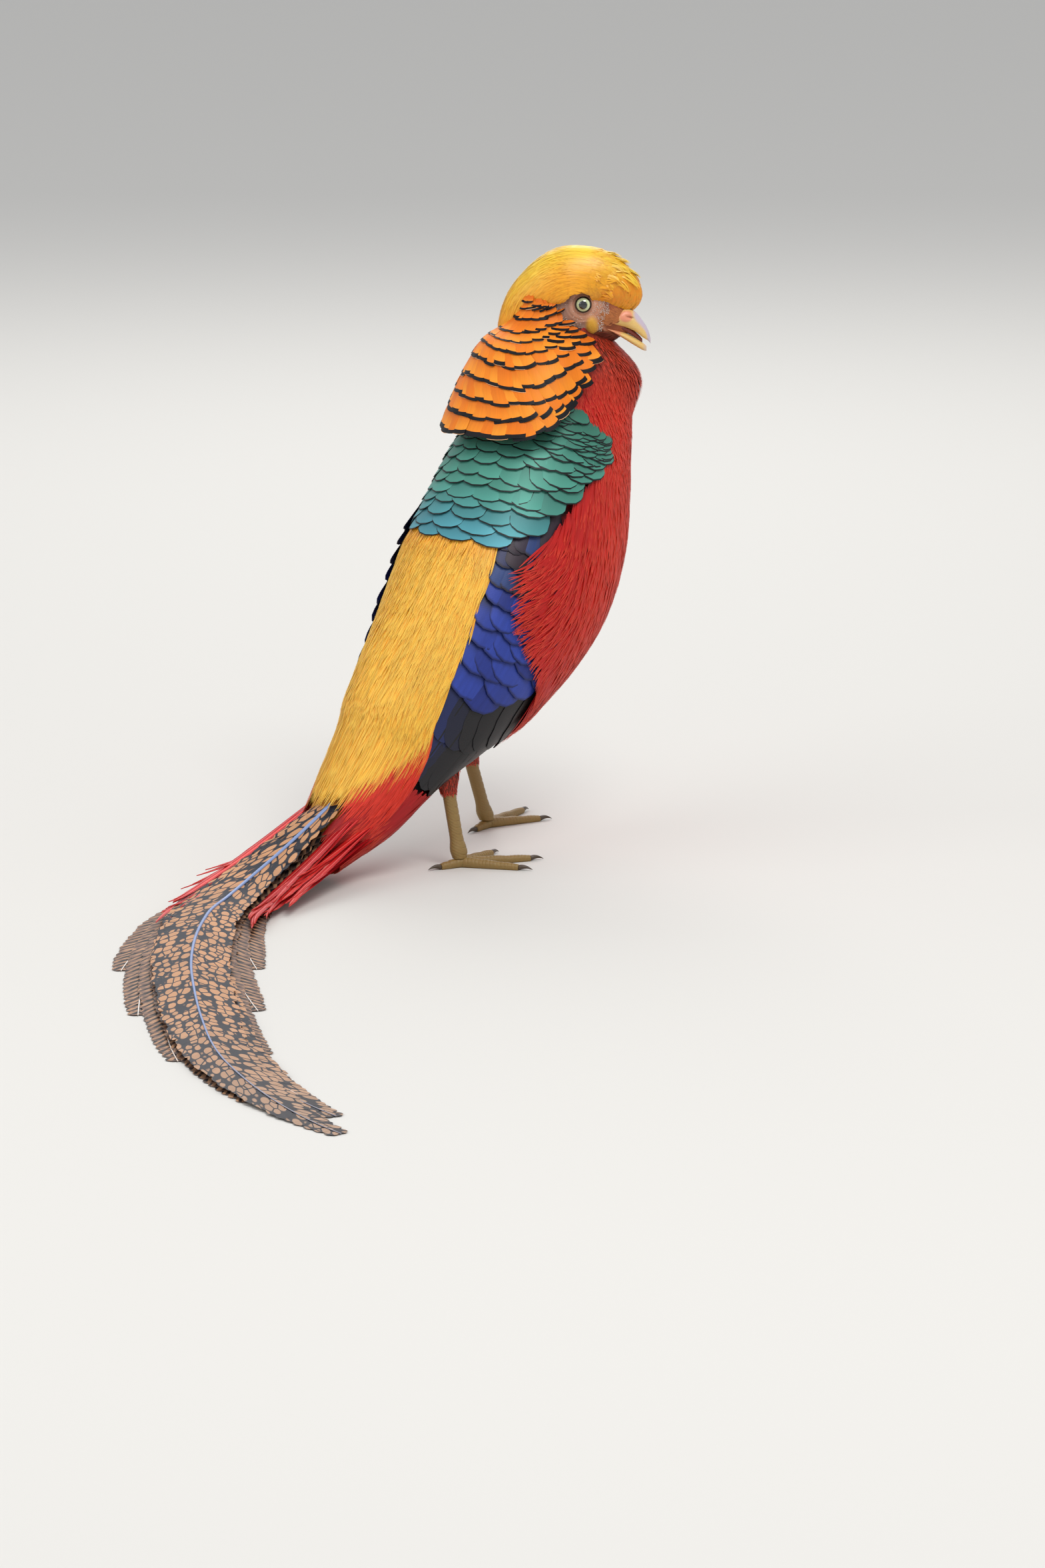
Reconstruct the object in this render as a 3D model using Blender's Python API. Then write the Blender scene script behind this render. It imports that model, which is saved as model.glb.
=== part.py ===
"""Golden pheasant cock, standing, its long tail laid along the floor, as a life-size museum model.

The bird faces +X, its right side is -Y, and the floor is z = 0. Its head is turned to its right.
Every size is in millimetres, and make_mesh() turns them into Blender's metres.

The trunk and neck are one loft along the spine. trunk_point(s, angle, rise) is a point of it: s counts
the stations of TRUNK from the tail to the head, angle goes round the spine in degrees from the middle
of the back, positive on the bird's right, and rise is the height above the closed coat. The plumage is
laid in layers below that height: a core of flesh, then for each tract a thin core of down with its
vanes or locks rooted in it, each tier lying over the next one behind.
"""

import functools
import math
import random

import bmesh
import bpy
import numpy as np

MM = 0.001
GAP = 0.3
SEED = 1758

# Stations of the spine: x, y, z, heading in degrees, then how far the closed coat stands from the
# spine at the back, at the breast and at the side.
TRUNK = (
    (-128, 0, 20, 0, 24, 15, 24),
    (-98, 0, 38, 0, 39, 18, 34),
    (-66, 0, 62, 0, 54, 20, 42),
    (-47, 0, 82, 0, 60, 34, 49),
    (-28, 0, 103, 0, 64, 48, 55),
    (-9, 0, 126, 0, 67, 60, 60),
    (8, 0, 151, 0, 69, 73, 63),
    (23, 0, 178, 0, 69, 82, 64),
    (37, 0, 210, 0, 64, 83, 61),
    (49, 0, 243, 0, 55, 76, 55),
    (58, 0, 268, 0, 44, 70, 49),
    (66, -2, 292, -15, 35, 58, 42),
    (74, -6, 315, -32, 27, 50, 34),
    (79, -9, 336, -42, 17, 20, 19),
    (82, -14, 352, -46, 27, 22, 17),
)
COLUMN = 15  # degrees between the columns of every form on the trunk
DOWN = 1.5  # the fine coat of the bare tracts, which the solids leave out
UNDER_VANES = 11.0  # how deep the flesh lies under the vanes
VANE_CORE = 3.6  # how thick the core of down is from which vanes grow
ROOT_DEPTH = 2.0  # how far a root is sunk below the top of that core

TRUNK_END = 0.9
MANTLE_END = 7.25
NECK_START = 10.3
NECK_END = 13.2
RUMP_SIDE = 45
WING_TOP = 45
# Station, then how far round the folded wing reaches there: down to the belly at its rear.
WING_EDGE = ((2.6, 128), (4, 121), (5, 112), (6, 104), (7.3, 100))
WING_BED = 5  # how many degrees past its edge the flesh lies deep for the wing
WING_LIFT = {"right": 0.0, "left": 7.0}  # how far the left wing is held off the body
WING_END = 2.6
MANTLE_SIDE = 90
CAPE_START = 10.8
CAPE_SIDE = 112
# Angle from the nape, then the station of the lowest tips and of the highest roots of the cape there.
CAPE_EDGES = ((0, 9.75, 13.4), (40, 9.9, 13.7), (62, 10.2, 13.9), (85, 10.9, 13.6), (112, 11.7, 12.6))
SEAM = 0.01  # half the gap between two tracts along the spine, in stations
SEAM_SIDE = 0.4  # and across it, in degrees
TILT = 0.8  # how far the outer edge of a vane stands over the inner edge of the next one

# Frame of the head: the point midway between the eyes, and the way the bill points.
HEAD_PLACE = (82, -15, 352)
HEAD_HEADING = -46
# Stations of the skull: u ahead of the eyes, height of the middle, half height and half width.
SKULL = (
    (-31, -8, 8, 7),
    (-26, -6, 16, 12),
    (-14, -3, 22, 16),
    (-2, -3, 23, 16),
    (8, -6, 20, 14.5),
    (17, -10, 15.5, 12),
    (24, -12.5, 11, 9),
    (29, -13.5, 8, 6.5),
)
EYE_SIDE = 10.6
EYE_RADIUS = 6.2
LID_WIDTH = 1.5
LID_PARTS = 11
WATTLE = (7, -15, 2.9, 3.0, 5.2)  # u, height, then half length, half width and half height
# Bill: u, height of the upper and of the lower edge, half width.
BILL_UPPER = (
    (21, -4.5, -14.5, 6.4),
    (27, -4.0, -15.5, 5.8),
    (33, -6.2, -18.2, 4.6),
    (38, -11.2, -21.6, 3.2),
    (41.3, -17.6, -24.8, 1.9),
    (42.8, -23.5, -27.0, 0.8),
)
BILL_LOWER = (
    (21, -16.2, -22.5, 5.4),
    (27, -18.2, -25.6, 4.9),
    (33, -22.0, -28.8, 3.8),
    (38, -26.4, -31.6, 2.2),
    (40.2, -29.8, -32.4, 0.9),
)
NOSTRIL = (29.5, -8.6, 2.6, 1.1)  # u, height, half length and half height of the slit

# Crest: polar rows about CREST_PIVOT in the head's upright plane: angle from straight ahead, radius of
# the skull below it, radius of the closed crest and its half width.
CREST_PIVOT = (-2.0, 0.0)
CREST = (
    (5, 26, 39, 9),
    (30, 25, 38, 14),
    (60, 22, 37, 19),
    (90, 20, 38, 21),
    (120, 22, 38.5, 22),
    (150, 26, 41, 21),
    (175, 36, 49, 18),
    (197, 45, 58, 13),
)

# Rows of crest locks: angle of the roots and of the tips, count, spread to each side, width.
CREST_ROWS = (
    (12, 62, 5, 66, 11),
    (40, 100, 5, 84, 13),
    (70, 136, 6, 86, 12.5),
    (100, 166, 5, 84, 14),
    (130, 190, 5, 80, 13),
)

# Tail: distance along it, and the heading of its plan in degrees from -X towards -Y.
TAIL_START = (-121, 0, 52)
TAIL_TURN = ((0, 2), (70, 12), (160, 42), (300, 54), (420, 58), (540, 74), (700, 96))
TAIL_FALL = 125  # distance in which it comes down to the floor
TAIL_ROOT_STEP = 4.0  # how much lower each next feather is rooted
TAIL_STEP = 1.7  # from one feather to the next in the stack
TAIL_THICK = 1.1
CENTRAL_LENGTH = 640
CENTRAL_WIDTH = 46
SIDE_WIDTH = 27
# Side feathers, outermost last: length, and how far to the side the tip lies.
SIDE_FEATHERS = ((560, 15), (470, 26), (370, 36), (270, 42))

# Red coverts at each side of the tail: angle of the root on its base, length, then how far out to the
# right and to the left the tip lies, and its height.
COVERTS = ((50, 185, 40, 26, 9), (78, 150, 46, 30, 7.5), (106, 112, 48, 34, 6))
COVERT_WIDTH = 13
COVERT_START = 0.6

LEGS = {
    "right": {
        "foot": (-43, -35),
        "heel": (-50, -22, 84),
        "toes": (-56, -22, 16, 168),
    },
    "left": {
        "foot": (43, 35),
        "heel": (4, 23, 88),
        "toes": (-14, 20, 54, -166),
    },
}
TOE_LENGTHS = (38, 47, 36, 15)  # outer, middle, inner and hind toe, without the claws
TOE_RADIUS = 3.3
CLAW_LENGTH = 9
ANKLE_HEIGHT = 11
TARSUS_RADIUS = 3.6
THIGH_RADIUS = 10.8
THIGH_BOTTOM = 50

MATERIALS = {
    "plumage_red": ("a3161c", 0.6, 0.0),
    "plumage_gold": ("e6a528", 0.45, 0.0),
    "plumage_crest": ("f0b81e", 0.4, 0.0),
    "plumage_cape": ("d9701e", 0.5, 0.0),
    "plumage_green": ("2f6f66", 0.35, 0.3),
    "plumage_blue": ("1f2f7a", 0.35, 0.2),
    "plumage_tail": ("9a7a50", 0.55, 0.0),
    "plumage_scarlet": ("c2331f", 0.5, 0.0),
    "skin_face": ("b98a78", 0.55, 0.0),
    "horn_bill": ("cdb98a", 0.3, 0.0),
    "horn_leg": ("8d7a45", 0.5, 0.0),
    "horn_claw": ("4a3b26", 0.35, 0.0),
    "eye": ("c9c66a", 0.05, 0.0),
}

# Outlines of a vane or lock: share of the length, then share of the full half width.
ROUND_END = ((0, 0.3), (0.4, 0.78), (0.8, 1.0), (1, 0.5))
SQUARE_END = ((0, 0.3), (0.5, 0.7), (1, 1.0))
LOCK = ((0, 0.7), (0.45, 1.0), (1, 0.1))
CURVED_LOCK = ((0, 0.7), (0.35, 1.0), (0.7, 0.8), (1, 0.1))
COVERT_VANE = ((0, 0.2), (0.15, 0.55), (0.45, 1.0), (0.75, 0.8), (1, 0.1))
LANCE = ((0, 0.4), (0.15, 0.75), (0.45, 1.0), (0.75, 0.8), (1, 0.1))
TAIL_VANE = ((0, 0.16), (0.12, 0.32), (0.26, 0.7), (0.42, 0.95), (0.58, 1.0), (0.74, 0.9), (0.9, 0.6), (1, 0.12))


def mix(a, b, share):
    return a + (b - a) * share


def smooth_step(low, high, value):
    share = min(max((value - low) / (high - low), 0.0), 1.0)
    return share * share * (3 - 2 * share)


def spline_row(rows, t):
    """A row read at t from a smooth curve through the rows, and straight on past the first and last."""
    table = np.asarray(rows, float)
    last = len(table) - 1
    if t <= 0:
        return table[0] + (table[1] - table[0]) * t
    if t >= last:
        return table[last] + (table[last] - table[last - 1]) * (t - last)
    i = int(t)
    f = t - i
    here, after = table[i], table[i + 1]
    before = table[i - 1] if i else 2 * here - after
    beyond = table[i + 2] if i + 2 <= last else 2 * after - here
    linear = (after - before) * f
    square = (2 * before - 5 * here + 4 * after - beyond) * f**2
    cube = (3 * here - before - 3 * after + beyond) * f**3
    return 0.5 * (2 * here + linear + square + cube)


def table_row(rows, key):
    """The rest of a row, read from rows whose first column is a rising key."""
    keys = [row[0] for row in rows]
    return [float(np.interp(key, keys, [row[i] for row in rows])) for i in range(1, len(rows[0]))]


@functools.lru_cache(maxsize=None)
def trunk_frame(s):
    """Centre, unit vectors along the spine, to the back and to the right, and the coat's three radii."""
    row = spline_row(TRUNK, s)
    along = spline_row(TRUNK, s + 0.05)[:3] - spline_row(TRUNK, s - 0.05)[:3]
    along /= np.linalg.norm(along)
    heading = math.radians(row[3])
    ahead = np.array([math.cos(heading), math.sin(heading), 0.0])
    back = -ahead + (ahead @ along) * along
    back /= np.linalg.norm(back)
    return row[:3], along, back, np.cross(along, back), row[4:]


def trunk_point(s, angle, rise=0.0):
    centre, _, back, right, (back_depth, breast_depth, side) = trunk_frame(round(s, 5))
    turn = math.radians(angle)
    c, d = math.cos(turn), math.sin(turn)
    depth = back_depth if c > 0 else breast_depth
    radius = 1 / math.hypot(c / depth, d / side) + rise
    return centre + radius * (c * back + d * right)


def breadth(s, angle, rise, degrees):
    """How far it is, across the trunk at one height, over so many degrees."""
    left, right = (trunk_point(s, angle + sign * degrees / 2, rise) for sign in (-1, 1))
    return np.linalg.norm(right - left)


def wing_low(s):
    """Angle of a wing's lower edge at a station."""
    return table_row(WING_EDGE, s)[0]


def flesh_rise(s, angle):
    """How high the flesh lies: deep under the tracts of vanes, and just under the coat elsewhere."""
    around = abs((angle + 180) % 360 - 180)
    edge = wing_low(s) + WING_BED if s <= MANTLE_END else MANTLE_SIDE
    inside = 1 - smooth_step(edge, edge + COLUMN, around)
    below_cape = 1 - smooth_step(NECK_START, CAPE_START, s)
    return -DOWN - (UNDER_VANES - DOWN) * inside * below_cape


def core_top(s, angle):
    return flesh_rise(s, angle) + GAP + VANE_CORE


def head_point(u, v, w):
    """A point u ahead of the eyes, v to the right and w above them."""
    heading = math.radians(HEAD_HEADING)
    ahead = np.array([math.cos(heading), math.sin(heading), 0.0])
    right = np.array([math.sin(heading), -math.cos(heading), 0.0])
    return np.array(HEAD_PLACE, float) + u * ahead + v * right + np.array([0.0, 0.0, w])


def crest_point(angle, side, share):
    """A point of the crest: share 0 is on the skull and 1 on the closed crest, side is in degrees."""
    skull, crest, width = table_row(CREST, angle)
    radius = mix(skull, crest, share)
    half = mix(width - 6, width, share)
    turn, lean = math.radians(angle), math.radians(side)
    reach = radius * math.cos(lean)
    u = CREST_PIVOT[0] + reach * math.cos(turn)
    w = CREST_PIVOT[1] + reach * math.sin(turn)
    return head_point(u, half * math.sin(lean), w)


@functools.lru_cache(maxsize=None)
def tail_plan(distance):
    """Place and heading of the tail's middle line on the floor, summed in short steps."""
    steps = max(round(distance / 5), 1)
    place = np.array(TAIL_START[:2], float)
    for i in range(steps):
        heading = math.radians(table_row(TAIL_TURN, distance * (i + 0.5) / steps)[0])
        place = place - distance / steps * np.array([math.cos(heading), math.sin(heading)])
    heading = math.radians(table_row(TAIL_TURN, distance)[0])
    return place, heading


def tail_point(distance, side, height):
    """A point of the tail: side is to the bird's right, height is above the floor where it lies."""
    place, heading = tail_plan(round(distance, 3))
    right = np.array([math.sin(heading), -math.cos(heading)])
    plan = place + side * right
    return np.array([plan[0], plan[1], height + tail_lift(distance)])


def tail_lift(distance):
    """How high the tail's underside hangs on its way from the rump to the floor."""
    return (TAIL_START[2] - 8) * max(1 - distance / TAIL_FALL, 0.0) ** 1.7


def link(obj):
    PARTS.objects.link(obj)
    return obj


def make_mesh(name, points, faces, material=None):
    """A mesh object in metres from points in millimetres, its faces turned to point out."""
    mesh = bpy.data.meshes.new(name)
    mesh.from_pydata([tuple(float(value) * MM for value in point) for point in points], [], faces)
    build = bmesh.new()
    build.from_mesh(mesh)
    if build.calc_volume(signed=True) < 0:
        bmesh.ops.reverse_faces(build, faces=build.faces)
    build.to_mesh(mesh)
    build.free()
    if material:
        mesh.materials.append(MATERIAL[material])
    return bpy.data.objects.new(name, mesh)


def skin_of(rings):
    """Points and triangles of a closed form through rings of like count, with its ends capped."""
    count = len(rings[0])
    points = [point for ring in rings for point in ring]
    faces = []
    for i in range(len(rings) - 1):
        for j in range(count):
            a, b = i * count + j, i * count + (j + 1) % count
            c, d = b + count, a + count
            faces += [(a, b, c), (a, c, d)]
    if count == 3:
        last = len(points) - 3
        return points, faces + [(2, 1, 0), (last, last + 1, last + 2)]
    for i in (0, len(rings) - 1):
        start = len(points)
        points.append(np.mean(rings[i], axis=0))
        for j in range(count):
            a, b = i * count + j, i * count + (j + 1) % count
            faces.append((b, a, start) if i == 0 else (a, b, start))
    return points, faces


def blade_of(sections):
    """A thin blade through sections (upper points, lower points), split alike on both faces."""
    count = len(sections[0][0])
    points = [point for upper, lower in sections for point in (*upper, *lower)]
    size = 2 * count
    faces = []
    for i in range(len(sections) - 1):
        row, after = i * size, (i + 1) * size
        for j in range(count - 1):
            a, b, c, d = row + j, row + j + 1, after + j + 1, after + j
            faces += [(a, b, c), (a, c, d)]
            a, b, c, d = (value + count for value in (a, b, c, d))
            faces += [(c, b, a), (d, c, a)]
        for j, flip in ((0, False), (count - 1, True)):
            a, b, c, d = row + j, after + j, after + j + count, row + j + count
            faces += [(c, b, a), (d, c, a)] if flip else [(a, b, c), (a, c, d)]
    for row, flip in ((0, False), ((len(sections) - 1) * size, True)):
        for j in range(count - 1):
            a, b, c, d = row + j, row + j + 1, row + j + 1 + count, row + j + count
            faces += [(a, b, c), (a, c, d)] if flip else [(c, b, a), (d, c, a)]
    return points, faces


def vane(surface, root, tip, width, rise, outline, thick=0.7, arched=False, tilt=0.0):
    """A flat feather or lock on a surface, from root to tip, each (along, across), over rise(share).

    surface(along, across, rise) is a point. tilt lifts its right edge and lowers its left one.
    """
    sections = []
    for share, half_share in outline:
        along = mix(root[0], tip[0], share)
        across = mix(root[1], tip[1], share)
        height = rise(share)
        unit = np.linalg.norm(surface(along, across + 1, height) - surface(along, across - 1, height)) / 2
        half = width / 2 * half_share / unit
        places = (-1, 0, 1) if arched else (-1, 1)
        middles = [(across + half * place, height + tilt * place) for place in places]
        upper = [surface(along, side, middle + thick / 2) for side, middle in middles]
        lower = [surface(along, side, middle - thick / 2) for side, middle in middles]
        sections.append((upper, lower))
    return make_mesh("vane", *blade_of(sections))


def lock(surface, root, tip, width, rise, outline, thick=1.5, tilt=0.0):
    """A tapered lock like a vane, flat below and with a low ridge along its middle."""
    rings = []
    for share, half_share in outline:
        along = mix(root[0], tip[0], share)
        across = mix(root[1], tip[1], share)
        height = rise(share)
        unit = np.linalg.norm(surface(along, across + 1, height) - surface(along, across - 1, height)) / 2
        half = width / 2 * half_share / unit
        ridge = height + thick * (0.4 + 0.6 * half_share)
        left = surface(along, across - half, height - tilt)
        right = surface(along, across + half, height + tilt)
        rings.append([left, surface(along, across, ridge), right])
    return make_mesh("lock", *skin_of(rings))


def slab(name, rows, columns, low, high, material):
    """A patch of the trunk between two heights, closed round its rim."""
    sections = []
    for s in rows:
        upper = [trunk_point(s, angle, high(s, angle)) for angle in columns]
        lower = [trunk_point(s, angle, low(s, angle)) for angle in columns]
        sections.append((upper, lower))
    return make_mesh(name, *blade_of(sections), material)


def columns_between(low, high):
    inner = [angle for angle in range(-360, 361, COLUMN) if low + 2 < angle < high - 2]
    return [low, *inner, high]


def evaluated_mesh(obj):
    bpy.context.view_layer.update()
    graph = bpy.context.evaluated_depsgraph_get()
    return bpy.data.meshes.new_from_object(obj.evaluated_get(graph))


def apply_modifiers(obj):
    finished = evaluated_mesh(obj)
    old = obj.data
    obj.modifiers.clear()
    obj.data = finished
    finished.name = obj.name
    bpy.data.meshes.remove(old)


def keep_largest(obj):
    """Keeps the closed surface that holds the most, and drops scraps and sealed hollows."""
    build = bmesh.new()
    build.from_mesh(obj.data)
    left = set(build.faces)
    bodies = []
    while left:
        body = set()
        edge_of_body = [left.pop()]
        while edge_of_body:
            face = edge_of_body.pop()
            body.add(face)
            near = {other for edge in face.edges for other in edge.link_faces} & left
            left -= near
            edge_of_body += near
        bodies.append(body)
    bodies.sort(key=body_volume)
    loose = [face for body in bodies[:-1] for face in body]
    bmesh.ops.delete(build, geom=loose, context="FACES")
    build.to_mesh(obj.data)
    build.free()


def body_volume(body):
    total = 0.0
    for face in body:
        first, *others = [vert.co for vert in face.verts]
        for a, b in zip(others, others[1:]):
            total += first.dot(a.cross(b))
    return total


def fuse(base, pieces):
    """Joins closed pieces to the base by one union, and removes them."""
    helpers = bpy.data.collections.new(base.name + "_pieces")
    bpy.context.scene.collection.children.link(helpers)
    for piece in pieces:
        helpers.objects.link(piece)
    joint = base.modifiers.new("fuse", "BOOLEAN")
    joint.operation = "UNION"
    joint.operand_type = "COLLECTION"
    joint.collection = helpers
    joint.solver = "MANIFOLD"
    apply_modifiers(base)
    for piece in pieces:
        bpy.data.objects.remove(piece)
    bpy.data.collections.remove(helpers)
    keep_largest(base)
    return base


def cut(base, cutter):
    """Takes the cutter's shape out of the base, and removes the cutter."""
    bpy.context.scene.collection.objects.link(cutter)
    cutter.hide_render = True
    cutter.display_type = "WIRE"
    joint = base.modifiers.new("cut", "BOOLEAN")
    joint.operation = "DIFFERENCE"
    joint.object = cutter
    joint.solver = "MANIFOLD"
    apply_modifiers(base)
    bpy.data.objects.remove(cutter)
    keep_largest(base)
    return base


def trunk_rings(rows, low):
    angles = range(-180, 180, COLUMN)
    return [[trunk_point(s, angle, low(s, angle)) for angle in angles] for s in rows]


TRUNK_ROWS = (TRUNK_END, 2, 3, 4, 5, 6, 7.25, 8, 9, 9.7, NECK_START)
NECK_ROWS = (NECK_START, CAPE_START, 11.4, 12, 12.6, NECK_END)


def trunk_form(name, grow, material=None):
    """The flesh of the trunk, grown round its sides by a gap when it is a cutter."""
    rings = trunk_rings(TRUNK_ROWS, lambda s, angle: flesh_rise(s, angle) + grow)
    return make_mesh(name, *skin_of(rings), material)


def torso():
    """The trunk, from the rump to the base of the neck, with the long red locks of the flanks."""
    body = link(trunk_form("torso", 0.0, "plumage_red"))
    for side in LEGS:
        cut(body, thigh_form(side, THIGH_RADIUS + GAP, GAP))
    locks = []
    for sign in (-1, 1):
        locks += flank_locks(sign)
    return fuse(body, locks)


def flank_locks(sign):
    """Hair-like locks that fall from the breast over the lower edge of one folded wing."""
    random.seed(SEED + sign)
    locks = []
    for row, s in enumerate((7.7, 6.9, 6.1)):
        for i in range(3 - row % 2):
            angle = mix(109, 134, (i + 0.5 * (row % 2)) / 3)
            root = (s, sign * (angle + 3))
            tip = (s - random.uniform(1.15, 1.5), sign * (angle - random.uniform(20, 26)))
            locks.append(lock(trunk_point, root, tip, 10, flank_rise, LOCK, tilt=sign * TILT / 2))
    return locks


def flank_rise(share):
    return mix(-DOWN - 2.4, 0.6, min(share * 2.2, 1.0))


def neck_form(name, grow, material=None):
    """The neck from the trunk to the skull, grown round its sides by a gap when it is a cutter."""
    rings = trunk_rings(NECK_ROWS, lambda s, angle: flesh_rise(s, angle) + grow)
    for i, sign in ((0, 1), (-1, -1)):
        _, along, *_ = trunk_frame(NECK_ROWS[i])
        rings[i] = [point + sign * (GAP - grow) * along for point in rings[i]]
    return make_mesh(name, *skin_of(rings), material)


def neck():
    """The neck under the cape, with the red throat in front."""
    body = link(neck_form("neck", 0.0, "plumage_red"))
    for sign in (-1, 1):
        cut(body, wattle(sign, GAP))
    return cut(body, skull_form("cutter", GAP))


def skull_form(name, grow, material=None):
    """The skull with its skin, grown all round by a gap when it is a cutter."""
    rings = []
    rows = [list(row) for row in SKULL]
    rows[0][0] -= grow
    rows[-1][0] += grow
    for u, middle, half_height, half_width in rows:
        ring = []
        for i in range(20):
            turn = math.tau * i / 20
            v = (half_width + grow) * math.sin(turn)
            w = middle + (half_height + grow) * math.cos(turn)
            ring.append(head_point(u, v, w))
        rings.append(ring)
    return make_mesh(name, *skin_of(rings), material)


def ball(name, centre, radii, segments=12, material=None):
    """An ellipsoid in the head's frame: centre and radii are ahead, to the right and up."""
    build = bmesh.new()
    bmesh.ops.create_uvsphere(build, u_segments=segments, v_segments=segments // 2 + 2, radius=1)
    points = [
        head_point(*(place + radius * value for place, radius, value in zip(centre, radii, vert.co)))
        for vert in build.verts
    ]
    faces = [tuple(vert.index for vert in face.verts) for face in build.faces]
    build.free()
    return make_mesh(name, points, faces, material)


def lid_ring(sign):
    """The rim of skin round one eye, drawn out a little at its corners."""
    rings = []
    for i in range(LID_PARTS):
        turn = math.tau * i / LID_PARTS
        reach_u, reach_w = EYE_RADIUS - 0.6, EYE_RADIUS - 1.4
        ring = []
        for j in range(5):
            lean = math.tau * j / 5
            out = LID_WIDTH * math.cos(lean)
            side = EYE_SIDE + 4.0 + LID_WIDTH * math.sin(lean)
            ring.append(head_point((reach_u + out) * math.cos(turn), sign * side, (reach_w + out) * math.sin(turn)))
        rings.append(ring)
    points = [point for ring in rings for point in ring]
    faces = []
    for i in range(LID_PARTS):
        after = (i + 1) % LID_PARTS
        for j in range(5):
            a, b = i * 5 + j, i * 5 + (j + 1) % 5
            c, d = after * 5 + (j + 1) % 5, after * 5 + j
            faces += [(a, b, c), (a, c, d)]
    return make_mesh("lid", points, faces)


def wattle(sign, grow):
    """The drop-shaped wattle below one eye."""
    u, w, *radii = WATTLE
    return ball("wattle", (u, sign * 13.2, w), [radius + grow for radius in radii], 8)


def head():
    """Skull and face, with lids, wattles and the corner of the mouth."""
    body = link(skull_form("head", 0.0, "skin_face"))
    extras = []
    for sign in (-1, 1):
        extras += [lid_ring(sign), wattle(sign, 0.0)]
        extras.append(ball("gape", (18, sign * 10.2, -15.5), (4.2, 1.8, 1.9), 8))
    fuse(body, extras)
    for sign in (-1, 1):
        size = EYE_RADIUS + GAP
        cut(body, ball("socket", (0, sign * EYE_SIDE, 0), (size, size, size), 12))
    between = [(u, low + 1.5, top - 1.5, 4.0) for (u, _, low, _), (_, top, _, _) in zip(BILL_UPPER, BILL_LOWER)]
    for rows in (BILL_UPPER, BILL_LOWER, between):
        cut(body, mandible("mouth", rows, GAP))
    return body


def mandible(name, rows, grow=0.0, material=None):
    """One half of the bill, or the hollow that holds it: a loft with a rounded ridge."""
    rings = []
    for i, (u, high, low, half) in enumerate(rows):
        middle = (high + low) / 2
        half_height = (high - low) / 2 + grow
        back = grow if i == 0 else 0.0
        ring = []
        for j in range(10):
            turn = math.tau * j / 10
            side = (half + grow) * math.copysign(abs(math.sin(turn)) ** 0.8, math.sin(turn))
            ring.append(head_point(u - back, side, middle + half_height * math.cos(turn)))
        rings.append(ring)
    return make_mesh(name, *skin_of(rings), material)


def bill():
    """The two halves of the bill, the upper one hooked and with its nostrils."""
    upper = link(mandible("bill_upper", BILL_UPPER, material="horn_bill"))
    u, w, long, high = NOSTRIL
    for sign in (-1, 1):
        cut(upper, ball("nostril", (u, sign * 5.2, w), (long, 1.6, high), 8))
    link(mandible("bill_lower", BILL_LOWER, material="horn_bill"))


def eyes():
    for side, sign in (("right", 1), ("left", -1)):
        size = (EYE_RADIUS,) * 3
        link(ball(f"eye_{side}", (0, sign * EYE_SIDE, 0), size, 12, "eye"))


def crest():
    """The silky crest: a low core on the crown and locks that sweep back over the nape."""
    angles = (12, 30, 60, 90, 120, 150, 160)
    sides = (-66, -44, -22, 0, 22, 44, 66)
    sections = []
    for angle in angles:
        upper = [crest_point(angle, side, 0.38) for side in sides]
        lower = [crest_point(angle, side, -0.12) for side in sides]
        sections.append((upper, lower))
    body = link(make_mesh("crest", *blade_of(sections), "plumage_crest"))
    random.seed(SEED + 5)
    locks = []
    for start, end, count, spread, width in CREST_ROWS:
        for i in range(count):
            side = mix(-spread, spread, (i + 0.5) / count)
            root = (start + random.uniform(-2, 2), side * 0.78)
            tip = (end + random.uniform(-3, 3) - 18 * (abs(side) / 70) ** 2, side * 0.88)
            locks.append(lock(crest_surface, root, tip, width, crest_rise, CURVED_LOCK))
    fuse(body, locks)
    return cut(body, skull_form("cutter", GAP))


def crest_surface(angle, side, rise):
    """The crest's surface with its height in millimetres above the skull."""
    skull, closed, _ = table_row(CREST, angle)
    return crest_point(angle, side, rise / (closed - skull))


def crest_rise(share):
    return mix(2.2, 14.0, min(share * 1.5, 1.0) ** 0.8)


def cape_reach(s, angle):
    """How far the closed cape stands off the neck: most at the nape, little at the throat."""
    nape = math.cos(math.radians(min(abs(angle), 90)))
    return mix(mix(8, 20, nape), mix(6, 19, nape), smooth_step(11.8, 13.3, s))


def cape_core(s, angle):
    return mix(flesh_rise(s, angle), cape_reach(s, angle), 0.36) + 0.4


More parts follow.
